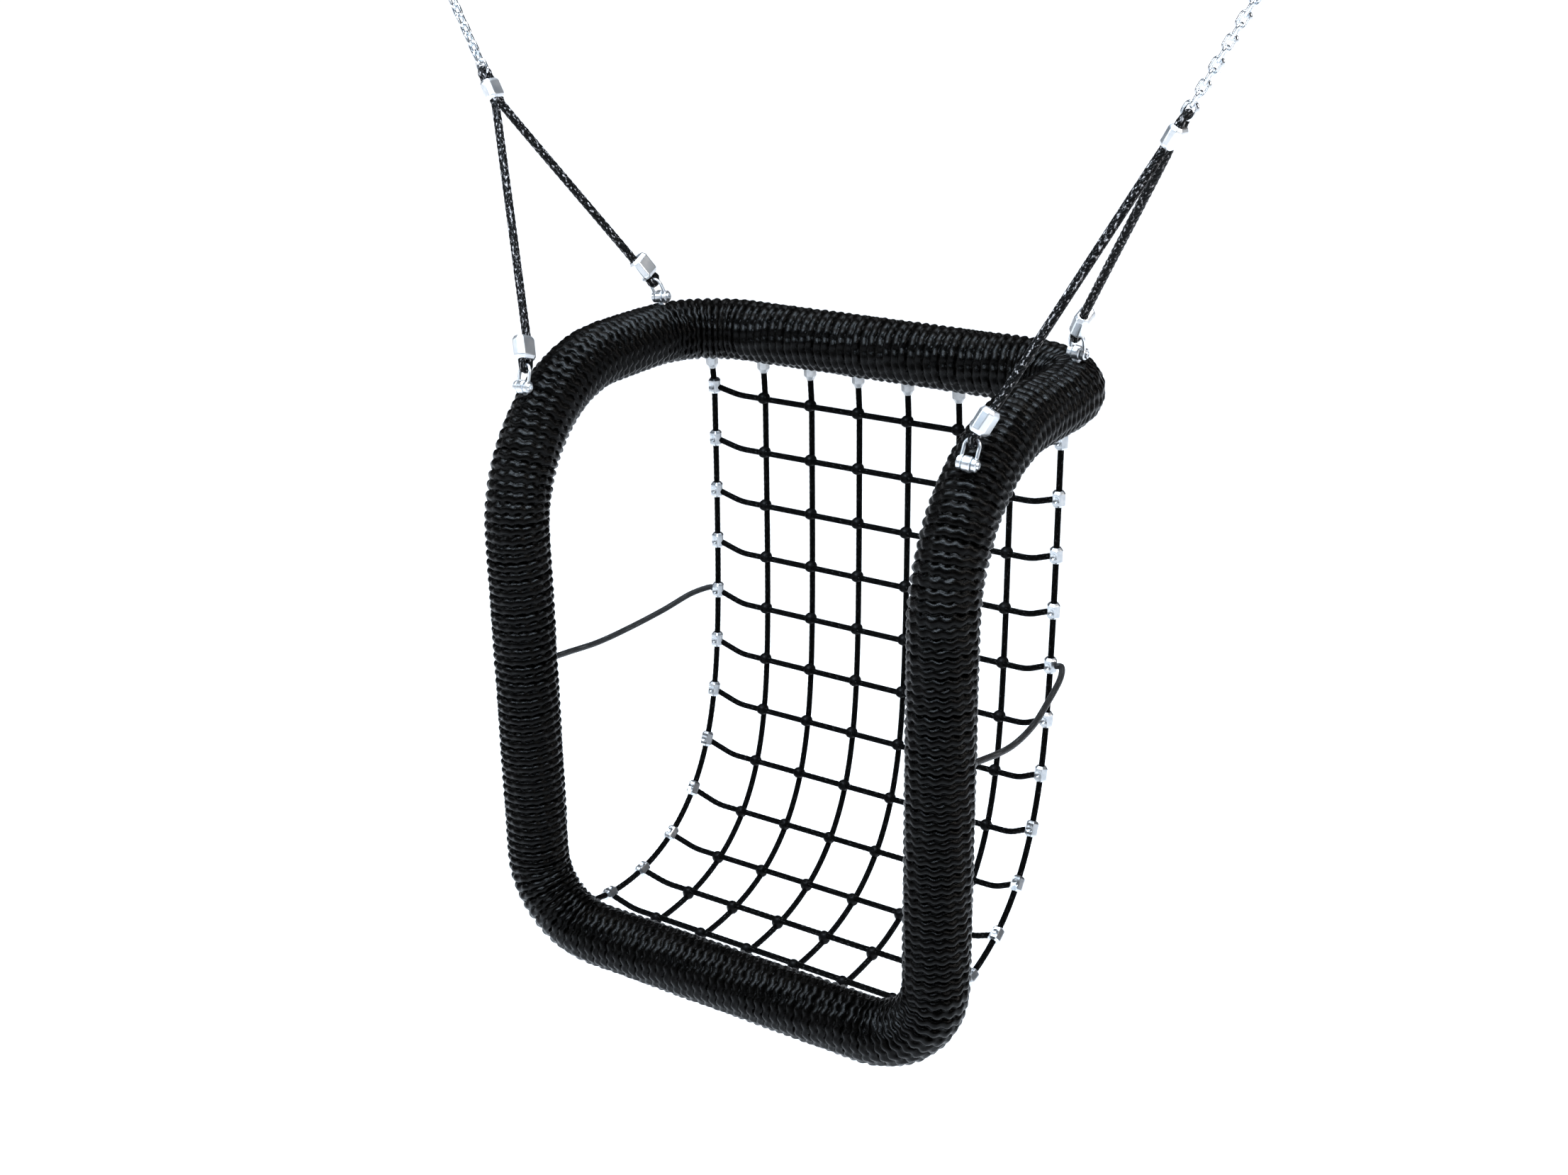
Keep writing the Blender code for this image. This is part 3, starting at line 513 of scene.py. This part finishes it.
cuts = [nearestRow(p) for p in (
    legFoot, legHead, armFront, flipped(armFront, -1), flipped(legHead, -1), flipped(legFoot, -1),
)]
cuts[0] = 0
stretches = ("right_leg", "right_bend", "rear", "left_bend", "left_leg", "front_bar")
for name, first, last in zip(stretches, cuts, [*cuts[1:], ringRows]):
    rows = np.arange(first, last + 1)
    outer = ringPath[rows % ringRows][:, None] + (ringRadius[..., None] * outward)[rows % ringRows]
    inside = np.append(np.arange(last, first, -winding["innerStep"]), first)
    inner = ringPath[inside % ringRows][:, None] + winding["bore"] * outward[inside % ringRows]
    along = np.concatenate([rows, inside]) * ringLength / ringRows
    skin = shell(hung(np.vstack([outer, inner])), closed=True, along=along)
    makePiece(
        f"winding_{name}_rope", [skin], finishes["winding"], "seat", [f"winding_{name}"], 75
    )
print("winding made,", turnCount, "turns")

# The net. Its ropes hang and then turn forward: slope(s) = turn / (1 + exp(-(s - at) / spread)).
net = {
    "rows": 12, "columns": 6, "edgeX": 3.497 * square, "apart": 0.00625, "intoWinding": 0.0535,
    "crossLevel": 2.5 * square, "crossTurn": 3.0 * square,
    "middle": {"y": 0.0425, "z": 7.10, "turn": 1.750, "at": 8.606, "spread": 1.1235, "row": 1.027},
    "edge": {"y": -0.0856, "z": 7.236, "turn": 1.946, "at": 8.808, "spread": 1.2943, "row": 1.0042},
}
netRope = {
    "radius": 0.0060, "columns": 16, "spacing": 0.0025, "strands": 4, "lay": 0.011, "strandRelief": 0.0006,
    "longReach": 4, "crossReach": 6,
}


def netProfile(shape, steps=20):
    # y and z are start less the running sums of sin(slope) and cos(slope)
    step = shape["row"] / steps
    s = np.arange((net["rows"] - 1) * steps + 1) * step
    slope = shape["turn"] / (1 + np.exp(-(s - shape["at"]) / shape["spread"]))
    middle = (slope[1:] + slope[:-1]) / 2
    y = shape["y"] - np.concatenate([[0], np.cumsum(np.sin(middle))]) * step
    z = shape["z"] - np.concatenate([[0], np.cumsum(np.cos(middle))]) * step
    line = np.stack([np.zeros(len(s)), y * square, z * square], axis=1)
    away = np.stack([np.zeros(len(s)), np.cos(slope), -np.sin(slope)], axis=1)
    down = np.stack([np.zeros(len(s)), -np.sin(slope), -np.cos(slope)], axis=1)
    return line, away, down, steps


def barCentre(x, bar):
    # the top or front bar's centre at this distance from the middle, where the ring may already bend
    over = max(0.0, abs(x) - (width - cornerR))
    back = cornerR - math.sqrt(cornerR**2 - over**2)
    return np.array([x, -back, armZ]) if bar == "top" else np.array([x, legY, barZ + back])


def ropeBetween(points, x):
    # a long rope: its own points, and at each end a straight run into the winding
    ends = []
    for end, bar in ((points[0], "top"), (points[-1], "front")):
        centre = barCentre(x, bar)
        ends.append(centre + unit(end - centre) * net["intoWinding"])
    path = softened(evenly(np.vstack([ends[0], points, ends[1]]), netRope["spacing"]), netRope["longReach"])
    return hung(path), [hung(end) for end in ends]


middleLine, middleAway, _, perRow = netProfile(net["middle"])
edgeLine, edgeAway, edgeDown, _ = netProfile(net["edge"])
ropeEnds = []
for index in range(net["columns"] + 2):
    if index in (0, net["columns"] + 1):
        x, line = math.copysign(net["edgeX"], index - 1), edgeLine
    else:
        x, line = (index - (net["columns"] + 1) / 2) * square, middleLine + net["apart"] * middleAway
    path, ends = ropeBetween(line + [x, 0, 0], x)
    ropeEnds.append((ends[0], hung(line[0] + [x, 0, 0])))
    skin = shell(tube(path, strandBumps(path, netRope["radius"], netRope), xAxis, netRope["columns"]))
    part = f"net_rope_{index + 1}"
    makePiece(f"longRope{index + 1}", [skin], finishes["net"], "seat", [part], 60)

for row in range(net["rows"]):
    k = row * perRow
    inner = middleLine[k] - net["apart"] * middleAway[k]
    half = [inner + xAxis * net[mark] for mark in ("crossLevel", "crossTurn")]
    half.append(edgeLine[k] + xAxis * net["edgeX"])
    path = evenly(np.vstack([flipped(half, -1)[::-1], half]), netRope["spacing"])
    path = hung(softened(path, netRope["crossReach"]))
    bumps = strandBumps(path, netRope["radius"], netRope)
    skin = shell(tube(path, bumps, seatTurn @ middleAway[k], netRope["columns"]))
    part = f"cross_rope_{row + 1}"
    makePiece(f"crossRope{row + 1}", [skin], finishes["net"], "seat", [part], 60)
print("net ropes made")

# Crossing balls: two moulded halves that meet in a thin seam, with a screw's recess on the sitter's side.
ball = {
    "radius": 0.0118, "half": 0.0131, "columns": 20, "seam": 0.0005, "recess": 0.0034, "recessDepth": 0.0012,
}


def ballProfile():
    # radius = R cos(t)^0.8, height = H sin(t), t from the rear pole to the front one; the seam is at t = 0
    t = np.radians([-72, -58, -40, -22, -6, -2, 2, 6, 22, 40, 58, 72])
    radius = ball["radius"] * np.cos(t) ** 0.8
    radius[5:7] -= ball["seam"]
    height = ball["half"] * np.sin(t) / math.sin(t[-1])
    recess = [(ball["recess"], ball["half"]), (ball["recess"] * 0.9, ball["half"] - ball["recessDepth"])]
    return np.vstack([np.stack([radius, height], axis=1), recess])


for row in range(net["rows"]):
    k = row * perRow
    skins = []
    for column in range(net["columns"]):
        x = (column - (net["columns"] - 1) / 2) * square
        centre = hung(middleLine[k] + [x, 0, 0])
        skins.append(shell(turned(centre, seatTurn @ -middleAway[k], xAxis, ballProfile(), ball["columns"])))
    makePiece(f"crossingBalls{row + 1}", skins, finishes["ball"], "seat", (), 50)

# Edge clamps: hexagonal sleeves pressed onto the edge ropes, with a round dimple on the sitter's side.
clamp = {
    "apothem": 0.0116, "half": 0.0152, "shoulder": 0.0042, "end": 0.0078, "columns": 48,
    "dimple": 0.0032, "dimpleReach": 0.0062,
}


def clampSkin(centre, down, away):
    # r = scale(h) hexagon(a) - dimple (1 - (d / reach)^3), with d the distance from the dimple's middle
    heights = np.concatenate([[-1, -0.97], np.linspace(-0.71, 0.71, 19), [0.97, 1]]) * clamp["half"]
    marks = np.array([-clamp["half"], -clamp["half"] * 0.97, -clamp["half"] + clamp["shoulder"]])
    scale = np.interp(-np.abs(heights), marks, [clamp["end"], clamp["end"] + 0.0006, clamp["apothem"]])
    angle = 2 * math.pi * np.arange(clamp["columns"]) / clamp["columns"]
    radius = scale[:, None] * hexagon(angle, 1.12)[None]
    turn = (angle + math.pi) % (2 * math.pi) - math.pi
    distance = np.hypot(turn[None] * clamp["apothem"], heights[:, None]) / clamp["dimpleReach"]
    radius = radius - clamp["dimple"] * (1 - np.clip(distance, 0, 1) ** 3)
    axis, side = seatTurn @ down, seatTurn @ -away
    ring = np.cos(angle)[:, None] * side + np.sin(angle)[:, None] * np.cross(axis, side)
    return shell(hung(centre) + heights[:, None, None] * axis + radius[..., None] * ring[None])


for hand, side in hands:
    skins = []
    for row in range(net["rows"]):
        k = row * perRow
        skins.append(clampSkin(edgeLine[k] + [side * net["edgeX"], 0, 0], edgeDown[k], edgeAway[k]))
    makePiece(f"{hand}EdgeClamps", skins, finishes["clamp"], "seat", (), 28)

# Bar ferrules: six-sided, tapering from the top bar down onto each long rope.
barFerrule = {"apothem": 0.0107, "length": 0.028, "taper": 0.0085, "neck": 0.0066, "lip": 0.0012}
skins = []
for end, below in ropeEnds:
    long, short = barFerrule["length"], barFerrule["length"] - barFerrule["taper"]
    profile = [
        (barFerrule["apothem"], 0), (barFerrule["apothem"], short),
        (barFerrule["neck"], long - barFerrule["lip"]), (barFerrule["neck"], long),
    ]
    skins.append(shell(turned(end, below - end, xAxis, profile, 24, lambda angle: hexagon(angle, 1.13))))
makePiece("barFerrules", skins, finishes["ferrule"], "seat", (), 25)
print("net fittings made")

# Shackles: a lug on the ring between the two ears of a bow, and a pin with a hexagon socket through them.
shackle = {
    "frontAngle": math.radians(49), "rearBack": 0.868 * square, "splay": math.radians(8), "pinHeight": 0.0705,
    "bossR": 0.0126, "bossLength": 0.0160, "bossSlack": 0.0014, "stemR": 0.0080, "flare": 0.0022,
    "earR": 0.0110, "earLength": 0.0085, "gap": 0.0003, "wireR": 0.0031, "bowHeight": 0.0400,
    "pinR": 0.0042, "pinEnd": 0.0018, "headR": 0.0062, "headLength": 0.0032,
    "socketR": 0.0026, "socketDepth": 0.0022,
}
chainLean = math.radians(28.7)


def chainPoint(distance, side):
    # on a chain's line, measured up from the middle of the top ferrule
    lift = np.array([side * math.sin(chainLean), 0, math.cos(chainLean)])
    return chainFoot * [side, 1, 1] + distance * lift


def lugPlace(which, side):
    # where the lug starts on the ring's centre line, and its outward direction
    if which == "front":
        centre = np.array([width, legY + bendR, armZ - bendR])
        away = np.array([0, -math.cos(shackle["frontAngle"]), math.sin(shackle["frontAngle"])])
        foot = centre + away * bendR
    else:
        turn = math.asin((cornerR - shackle["rearBack"]) / cornerR)
        foot = np.array([width - cornerR * (1 - math.cos(turn)), -shackle["rearBack"], armZ])
        away = zAxis
    away = unit(away * math.cos(shackle["splay"]) + xAxis * math.sin(shackle["splay"]))
    return hung(flipped(foot, side)), seatTurn @ flipped(away, side)


def shacklePlace(which, side):
    foot, away = lugPlace(which, side)
    centre = foot + away * shackle["pinHeight"]
    along = unit(xAxis - away * np.dot(xAxis, away))
    rope = unit(chainPoint(0, side) - centre)
    up = unit(rope - along * np.dot(rope, along))
    return foot, away, centre, along, up, rope


def barrel(radius, length, rim):
    # a short round bar whose rims are softened over three steps
    h = length / 2
    rising = [(radius - rim * 2, -h), (radius - rim * 0.6, -h + rim * 0.3), (radius, -h + rim)]
    return rising + [(r, -height) for r, height in rising[::-1]]


for hand, side in hands:
    for which in ("front", "rear"):
        node = f"{hand}_{which}"
        foot, away, centre, along, up, rope = shacklePlace(which, side)
        boss = barrel(shackle["bossR"], shackle["bossLength"] - shackle["bossSlack"], 0.0018)
        stemR = shackle["stemR"]
        stem = [(stemR + shackle["flare"], 0.050), (stemR + 0.0006, 0.0595), (stemR, 0.064)]
        skins = [shell(turned(centre, along, up, boss, 40)), shell(turned(foot, away, along, stem, 28))]
        makePiece(f"{node}Lug", skins, finishes["zinc"], "seat", [f"{node}_lug"], 40)

        reach = shackle["bossLength"] / 2 + shackle["gap"] + shackle["earLength"] / 2
        ear = barrel(shackle["earR"], shackle["earLength"], 0.0016)
        skins = [shell(turned(centre + along * reach * end, along, up, ear, 36)) for end in (-1, 1)]
        sweep = np.linspace(0, math.pi, 24)[:, None]
        rise = shackle["bowHeight"] - reach
        crown = centre + up * (rise + reach * np.sin(sweep)) - along * (reach * np.cos(sweep))
        start, end = centre - along * reach + up * 0.006, centre + along * reach + up * 0.006
        wire = evenly(np.vstack([start, crown, end]), 0.0018)
        skins.append(shell(tube(wire, shackle["wireR"], np.cross(along, up), 16)))
        makePiece(f"{node}Bow", skins, finishes["zinc"], "seat", [f"{node}_bow"], 40)

        half = reach + shackle["earLength"] / 2 + shackle["gap"]
        tip, face = -half - shackle["pinEnd"], half + shackle["headLength"]
        outside = [
            (shackle["pinR"] * 0.8, tip), (shackle["pinR"], tip + 0.0008), (shackle["pinR"], half),
            (shackle["headR"], half), (shackle["headR"], half + shackle["headLength"] * 0.7),
            (shackle["headR"] - 0.0008, face), (shackle["socketR"] + 0.0004, face),
        ]
        socket = [(shackle["socketR"], face), (shackle["socketR"], face - shackle["socketDepth"])]
        outerRing = turned(centre, along, up, outside, 28)
        innerRing = turned(centre, along, up, socket, 28, lambda angle: hexagon(angle, 1.155))
        skin = shell(np.concatenate([outerRing, innerRing]))
        makePiece(f"{node}Pin", [skin], finishes["zinc"], "seat", [f"{node}_pin"], 40)
print("shackles made")

# Slings: one rope on each side, with an eye at each shackle and a loop through the chain's end link.
sling = {
    "radius": 0.0080, "squeeze": 0.775, "columns": 24, "spacing": 0.0020, "strands": 4, "lay": 0.0135,
    "strandRelief": 0.0010, "endLink": 0.031, "tail": 0.004, "straight": 0.030, "spread": 0.010,
    "intoTop": 0.003, "aboveTop": 0.040,
}
ferrules = {
    "lower": {"length": 0.044, "wide": 0.043, "thick": 0.028, "at": 0.071},
    "top": {"length": 0.038, "wide": 0.041, "thick": 0.025},
}
pressing = {"inset": 0.0042, "endCut": 0.0052, "cut": 0.0078, "straight": 0.35, "bevel": 0.0016}


def halfTurn(centre, toward, across, radius, count=9):
    # centre + radius (cos(t) across - sin(t) toward), t from 0 to half a turn
    t = np.linspace(0, math.pi, count)[:, None]
    return centre + radius * (np.cos(t) * across - np.sin(t) * toward)


def pressed(centre, across, along, shape):
    # eight-sided sections whose corners are cut, narrower at both ends
    thickWay = np.cross(along, across)
    rim, body, straight = (pressing["inset"], pressing["endCut"]), (0, pressing["cut"]), pressing["straight"]
    rows = []
    for (inset, cut), height in ((rim, -0.5), (body, -straight), (body, straight), (rim, 0.5)):
        x, y = shape["wide"] / 2 - inset, shape["thick"] / 2 - inset
        corner = [(x, -y + cut), (x, y - cut), (x - cut, y), (-x + cut, y)]
        ring = np.array(corner + [(-px, -py) for px, py in corner])
        rows.append(centre + along * height * shape["length"] + ring[:, :1] * across + ring[:, 1:] * thickWay)
    return shell(np.array(rows))


for hand, side in hands:
    top = chainPoint(0, side)
    lift = unit(chainPoint(1, side) - top)
    halfPitch = sling["radius"] + 0.0002
    pressedR = sling["radius"] * sling["squeeze"]
    parts = []
    for which, sign in (("front", -1), ("rear", 1)):
        _, _, centre, along, up, rope = shacklePlace(which, side)
        across = unit(np.cross(along, rope))
        across = across if across[1] * sign > 0 else -across
        level = np.cross(along, up)
        level = level if np.dot(level, across) > 0 else -level
        bar = centre + up * shackle["bowHeight"]
        sleeve = ferrules["lower"]
        ferrule = bar + rope * (sleeve["at"] - shackle["bowHeight"])
        low, high = (ferrule + rope * sleeve["length"] * end for end in (-0.5, 0.5))
        tail = [p + across * halfPitch for p in (high - rope * sling["tail"], ferrule, low)]
        eye = halfTurn(bar, up, -level, pressedR + shackle["wireR"] + 0.0006)[::-1]
        riser = [p - across * halfPitch for p in (low, ferrule, high, high + rope * sling["straight"])]
        entry = top - lift * (ferrules["top"]["length"] / 2 + sling["intoTop"]) + yAxis * (sign * halfPitch)
        spreading = entry - lift * sling["straight"] + yAxis * (sign * sling["spread"])
        riser += [spreading, entry, entry + lift * sling["aboveTop"]]
        thick = [1.0] * len(tail) + [sling["squeeze"]] * len(eye) + [1.0] * len(riser)
        parts.append((np.vstack([tail, eye, riser]), thick))
        skin = pressed(ferrule, across, rope, sleeve)
        makePiece(
            f"{hand}_{which}Ferrule", [skin], finishes["aluminium"], "seat",
            [f"{hand}_{which}_ferrule"], 18, pressing["bevel"],
        )
    skin = pressed(top, yAxis, lift, ferrules["top"])
    makePiece(
        f"{hand}TopFerrule", [skin], finishes["aluminium"], "seat",
        [f"{hand}_top_ferrule"], 18, pressing["bevel"],
    )
    crown = halfTurn(chainPoint(sling["endLink"], side), -lift, -yAxis, pressedR + 0.0036)
    points = np.vstack([parts[0][0], crown, parts[1][0][::-1]])
    thick = [*parts[0][1], *[sling["squeeze"]] * len(crown), *parts[1][1][::-1]]
    flow = flowing(points, 8)
    spread = np.interp(np.arange(len(flow)) / 8, np.arange(len(thick)), thick)
    path = evenly(flow, sling["spacing"])
    radius = sling["radius"] * np.interp(runOf(path), runOf(flow), spread)
    skin = shell(tube(path, strandBumps(path, radius, sling), xAxis, sling["columns"]))
    makePiece(f"{hand}Sling", [skin], finishes["sling"], "seat", [f"{hand}_sling"], 60)
print("slings made")

# Chains: oval links in turn along and across, the lowest one through the sling.
chain = {
    "wireR": 0.0030, "pitch": 0.0185, "halfWidth": 0.0072, "links": 11,
    "endLength": 0.027, "endHalfWidth": 0.0099, "ringR": 0.0100, "ringWireR": 0.0034,
}


def linkSkin(low, length, halfWidth, across, lift):
    # a half circle at each end and straight sides, carried round by the wire
    t = np.linspace(0, math.pi, 16)[:, None]
    bottom = low + lift * halfWidth * (1 - np.sin(t)) + across * halfWidth * np.cos(t)
    upper = low + lift * (length - halfWidth * (1 - np.sin(t))) - across * halfWidth * np.cos(t)
    wire = np.vstack([bottom, upper])
    return shell(tube(wire, chain["wireR"], np.cross(across, lift), 14, closed=True), closed=True)


pivotAt = sling["endLink"] + chain["endLength"]
linkLength = chain["pitch"] + 2 * chain["wireR"] - 0.0002
for hand, side in hands:
    lift = unit(chainPoint(1, side) - chainPoint(0, side))
    flat = np.cross(yAxis, lift)
    foot = chainPoint(sling["endLink"], side)
    skin = linkSkin(foot, chain["endLength"], chain["endHalfWidth"], flat, lift)
    makePiece(f"{hand}EndLink", [skin], finishes["chain"], "seat", [f"{hand}_end_link"], 60)
    skins = []
    for index in range(chain["links"]):
        low = chainPoint(pivotAt - 2 * chain["wireR"] - 0.0006 + index * chain["pitch"], side)
        skins.append(linkSkin(low, linkLength, chain["halfWidth"], flat if index % 2 else yAxis, lift))
    makePiece(f"{hand}Chain", skins, finishes["chain"], f"{hand}_chain", [f"{hand}_chain"], 60)
print("chains made")

# Hangers: an eye on a bolt between two cheeks under a plate.
hanger = {
    "bossR": 0.0110, "boss": 0.0275, "gap": 0.0003, "pinR": 0.0060, "headR": 0.0088, "ringDrop": 0.022,
    "plateX": 0.050, "plateY": 0.030, "plateTop": 0.036, "plate": 0.006, "corner": 0.008,
    "cheek": 0.0050, "cheekHalf": 0.0160, "cheekTop": 0.0305, "cheekWaist": 0.020,
    "toeHalf": 0.0105, "toeDrop": 0.0095, "toeStart": 0.08 * math.pi, "boltX": 0.037, "boltY": 0.019,
}
boltWasher = [(0.0062, 0.0), (0.0062, 0.0011), (0.0052, 0.0013)]  # (radius, distance below the plate)
boltHead = [(0.0046, 0.0010), (0.0046, 0.0042), (0.0040, 0.0049)]


def slab(centre, xWay, yWay, outline, thickness):
    # the outline of (x, y) points, once at each face
    outline = np.asarray(outline, float)
    flat = centre + outline[:, :1] * xWay + outline[:, 1:] * yWay
    lift = unit(np.cross(xWay, yWay)) * thickness / 2
    return shell(np.array([flat - lift, flat + lift]))


def roundedBox(halfX, halfY, radius, count=6):
    # four quarter circles, counter-clockwise
    quarters = []
    for step, corner in enumerate(((1, 1), (-1, 1), (-1, -1), (1, -1))):
        t = np.linspace(0, math.pi / 2, count) + step * math.pi / 2
        middle = np.array(corner) * (halfX - radius, halfY - radius)
        quarters.append(middle + radius * np.stack([np.cos(t), np.sin(t)], axis=1))
    return np.vstack(quarters)


def cheekOutline():
    # straight at the top, and below it most of a half ellipse round the pin: (a cos t, b sin t)
    wide, top, waist = hanger["cheekHalf"], hanger["cheekTop"], hanger["cheekWaist"]
    t = np.linspace(math.pi + hanger["toeStart"], 2 * math.pi - hanger["toeStart"], 14)
    toe = [hanger["toeHalf"] / math.cos(hanger["toeStart"]) * np.cos(t), hanger["toeDrop"] * np.sin(t)]
    return np.vstack([np.stack(toe, axis=1), [(wide, waist), (wide, top), (-wide, top), (-wide, waist)]])


for hand, side in hands:
    low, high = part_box(f"{hand}_hanger_bracket")
    middle = np.array([(low.x + high.x) / 2, 0, 0])
    plate = middle + zAxis * (hanger["plateTop"] - hanger["plate"] / 2)
    outline = roundedBox(hanger["plateX"], hanger["plateY"], hanger["corner"])
    skins = [slab(plate, xAxis, yAxis, outline, hanger["plate"])]
    offset = hanger["boss"] / 2 + hanger["gap"] + hanger["cheek"] / 2
    for end in (-1, 1):
        skins.append(slab(middle + xAxis * offset * end, yAxis, zAxis, cheekOutline(), hanger["cheek"]))
    part = f"{hand}_hanger_bracket"
    makePiece(f"{hand}Bracket", skins, finishes["zinc"], "hangers", [part], 30, 0.0006)

    skins = []
    for x, y in ((-1, -1), (-1, 1), (1, -1), (1, 1)):
        spot = middle + [x * hanger["boltX"], y * hanger["boltY"], hanger["plateTop"] - hanger["plate"]]
        skins.append(shell(turned(spot, -zAxis, xAxis, boltWasher, 24)))
        skins.append(shell(turned(spot, -zAxis, xAxis, boltHead, 24, lambda angle: hexagon(angle, 1.15))))
    makePiece(f"{hand}PlateBolts", skins, finishes["zinc"], "hangers", (), 30)

    grip = offset + hanger["cheek"] / 2 + hanger["gap"]
    pinR, headR = hanger["pinR"], hanger["headR"]
    shaft = [(pinR - 0.001, -grip - 0.009), (pinR, -grip - 0.008), (pinR, grip)]
    head = [(headR, grip), (headR, grip + 0.0045), (headR - 0.001, grip + 0.006)]
    nut = [(headR - 0.001, -grip - 0.006), (headR, -grip - 0.0052), (headR, -grip)]
    skins = [
        shell(turned(middle, xAxis, zAxis, shaft, 28)),
        shell(turned(middle, xAxis, zAxis, head, 30, lambda angle: hexagon(angle, 1.15))),
        shell(turned(middle, xAxis, zAxis, nut, 30, lambda angle: hexagon(angle, 1.15))),
    ]
    part = f"{hand}_hanger_pin"
    makePiece(f"{hand}HangerBolt", skins, finishes["zinc"], "hangers", [part], 30)

    lift = unit(chainPoint(1, side) - chainPoint(0, side))
    flat = np.cross(yAxis, lift)
    t = 2 * math.pi * np.arange(48)[:, None] / 48
    loop = middle - zAxis * hanger["ringDrop"] + chain["ringR"] * (flat * np.cos(t) + lift * np.sin(t))
    skins = [
        shell(turned(middle, xAxis, zAxis, barrel(hanger["bossR"], hanger["boss"], 0.0012), 36)),
        shell(tube(loop, chain["ringWireR"], yAxis, 16, closed=True), closed=True),
    ]
    part = f"{hand}_hanger_eye"
    makePiece(f"{hand}HangerEye", skins, finishes["zinc"], f"{hand}_chain", [part], 40)
print("hangers made")

# Studio: a plain pale floor under the hanging seat and a broad soft light overhead.
studio = {
    "floorZ": -2.90, "floorHalf": 60.0, "floorColour": (0.93, 0.93, 0.93, 1),
    "overhead": (4.4, 4.6, 4.9), "around": (0.05, 0.05, 0.055), "capStart": 0.80, "capFull": 0.92,
    "background": (1.0, 1.0, 1.0, 1),
}
lamps = {
    "key": {
        "position": (0.2, -1.5, 2.5), "target": (0, -0.2, -0.9), "size": 1.8, "power": 480,
        "colour": (0.72, 0.86, 1.0),
    },
    "front": {
        "position": (-2.4, -2.4, 0.8), "target": (0, -0.2, -1.1), "size": 0.9, "power": 36,
        "colour": (0.84, 0.92, 1.0),
    },
    "side": {
        "position": (3.2, 0.4, 0.9), "target": (0, -0.2, -1.1), "size": 0.9, "power": 55,
        "colour": (1.0, 0.95, 0.90),
    },
}
half = studio["floorHalf"]
floorMesh = bpy.data.meshes.new("floor")
floorMesh.from_pydata(
    [(x, y, studio["floorZ"]) for x, y in ((-half, -half), (half, -half), (half, half), (-half, half))],
    [], [(0, 1, 2, 3)],
)
floorFinish, floorShader = startFinish("floorFinish", {"specular": 0.1})
floorShader.inputs["Base Color"].default_value = studio["floorColour"]
floorShader.inputs["Roughness"].default_value = 0.9
floorMesh.materials.append(floorFinish)
floor = bpy.data.objects.new("floor", floorMesh)
bpy.context.scene.collection.objects.link(floor)

# The world lights from a cap overhead, and behind everything the camera sees plain white.
world = bpy.data.worlds.new("studio")
world.use_nodes = True
direction = addNode(world, "ShaderNodeTexCoord").outputs["Generated"]
height = addNode(world, "ShaderNodeSeparateXYZ", Vector=direction).outputs["Z"]
glow = ramp(world, height, studio["around"], studio["overhead"], studio["capStart"], studio["capFull"])
lit = addNode(world, "ShaderNodeBackground", Color=glow)
plain = addNode(world, "ShaderNodeBackground", Color=studio["background"])
seen = addNode(world, "ShaderNodeLightPath").outputs["Is Camera Ray"]
both = world.node_tree.nodes.new("ShaderNodeMixShader")
for socket, source in zip(both.inputs, (seen, lit.outputs[0], plain.outputs[0])):
    world.node_tree.links.new(source, socket)
world.node_tree.links.new(both.outputs[0], world.node_tree.nodes["World Output"].inputs["Surface"])
bpy.context.scene.world = world

for name, lamp in lamps.items():
    data = bpy.data.lights.new(name, "AREA")
    data.shape, data.size, data.energy, data.color = "DISK", lamp["size"], lamp["power"], lamp["colour"]
    light = bpy.data.objects.new(name, data)
    light.location = lamp["position"]
    aim = Vector(lamp["target"]) - Vector(lamp["position"])
    light.rotation_euler = aim.to_track_quat("-Z", "Y").to_euler()
    bpy.context.scene.collection.objects.link(light)
bpy.context.scene.view_settings.view_transform = "Standard"
print("studio made")
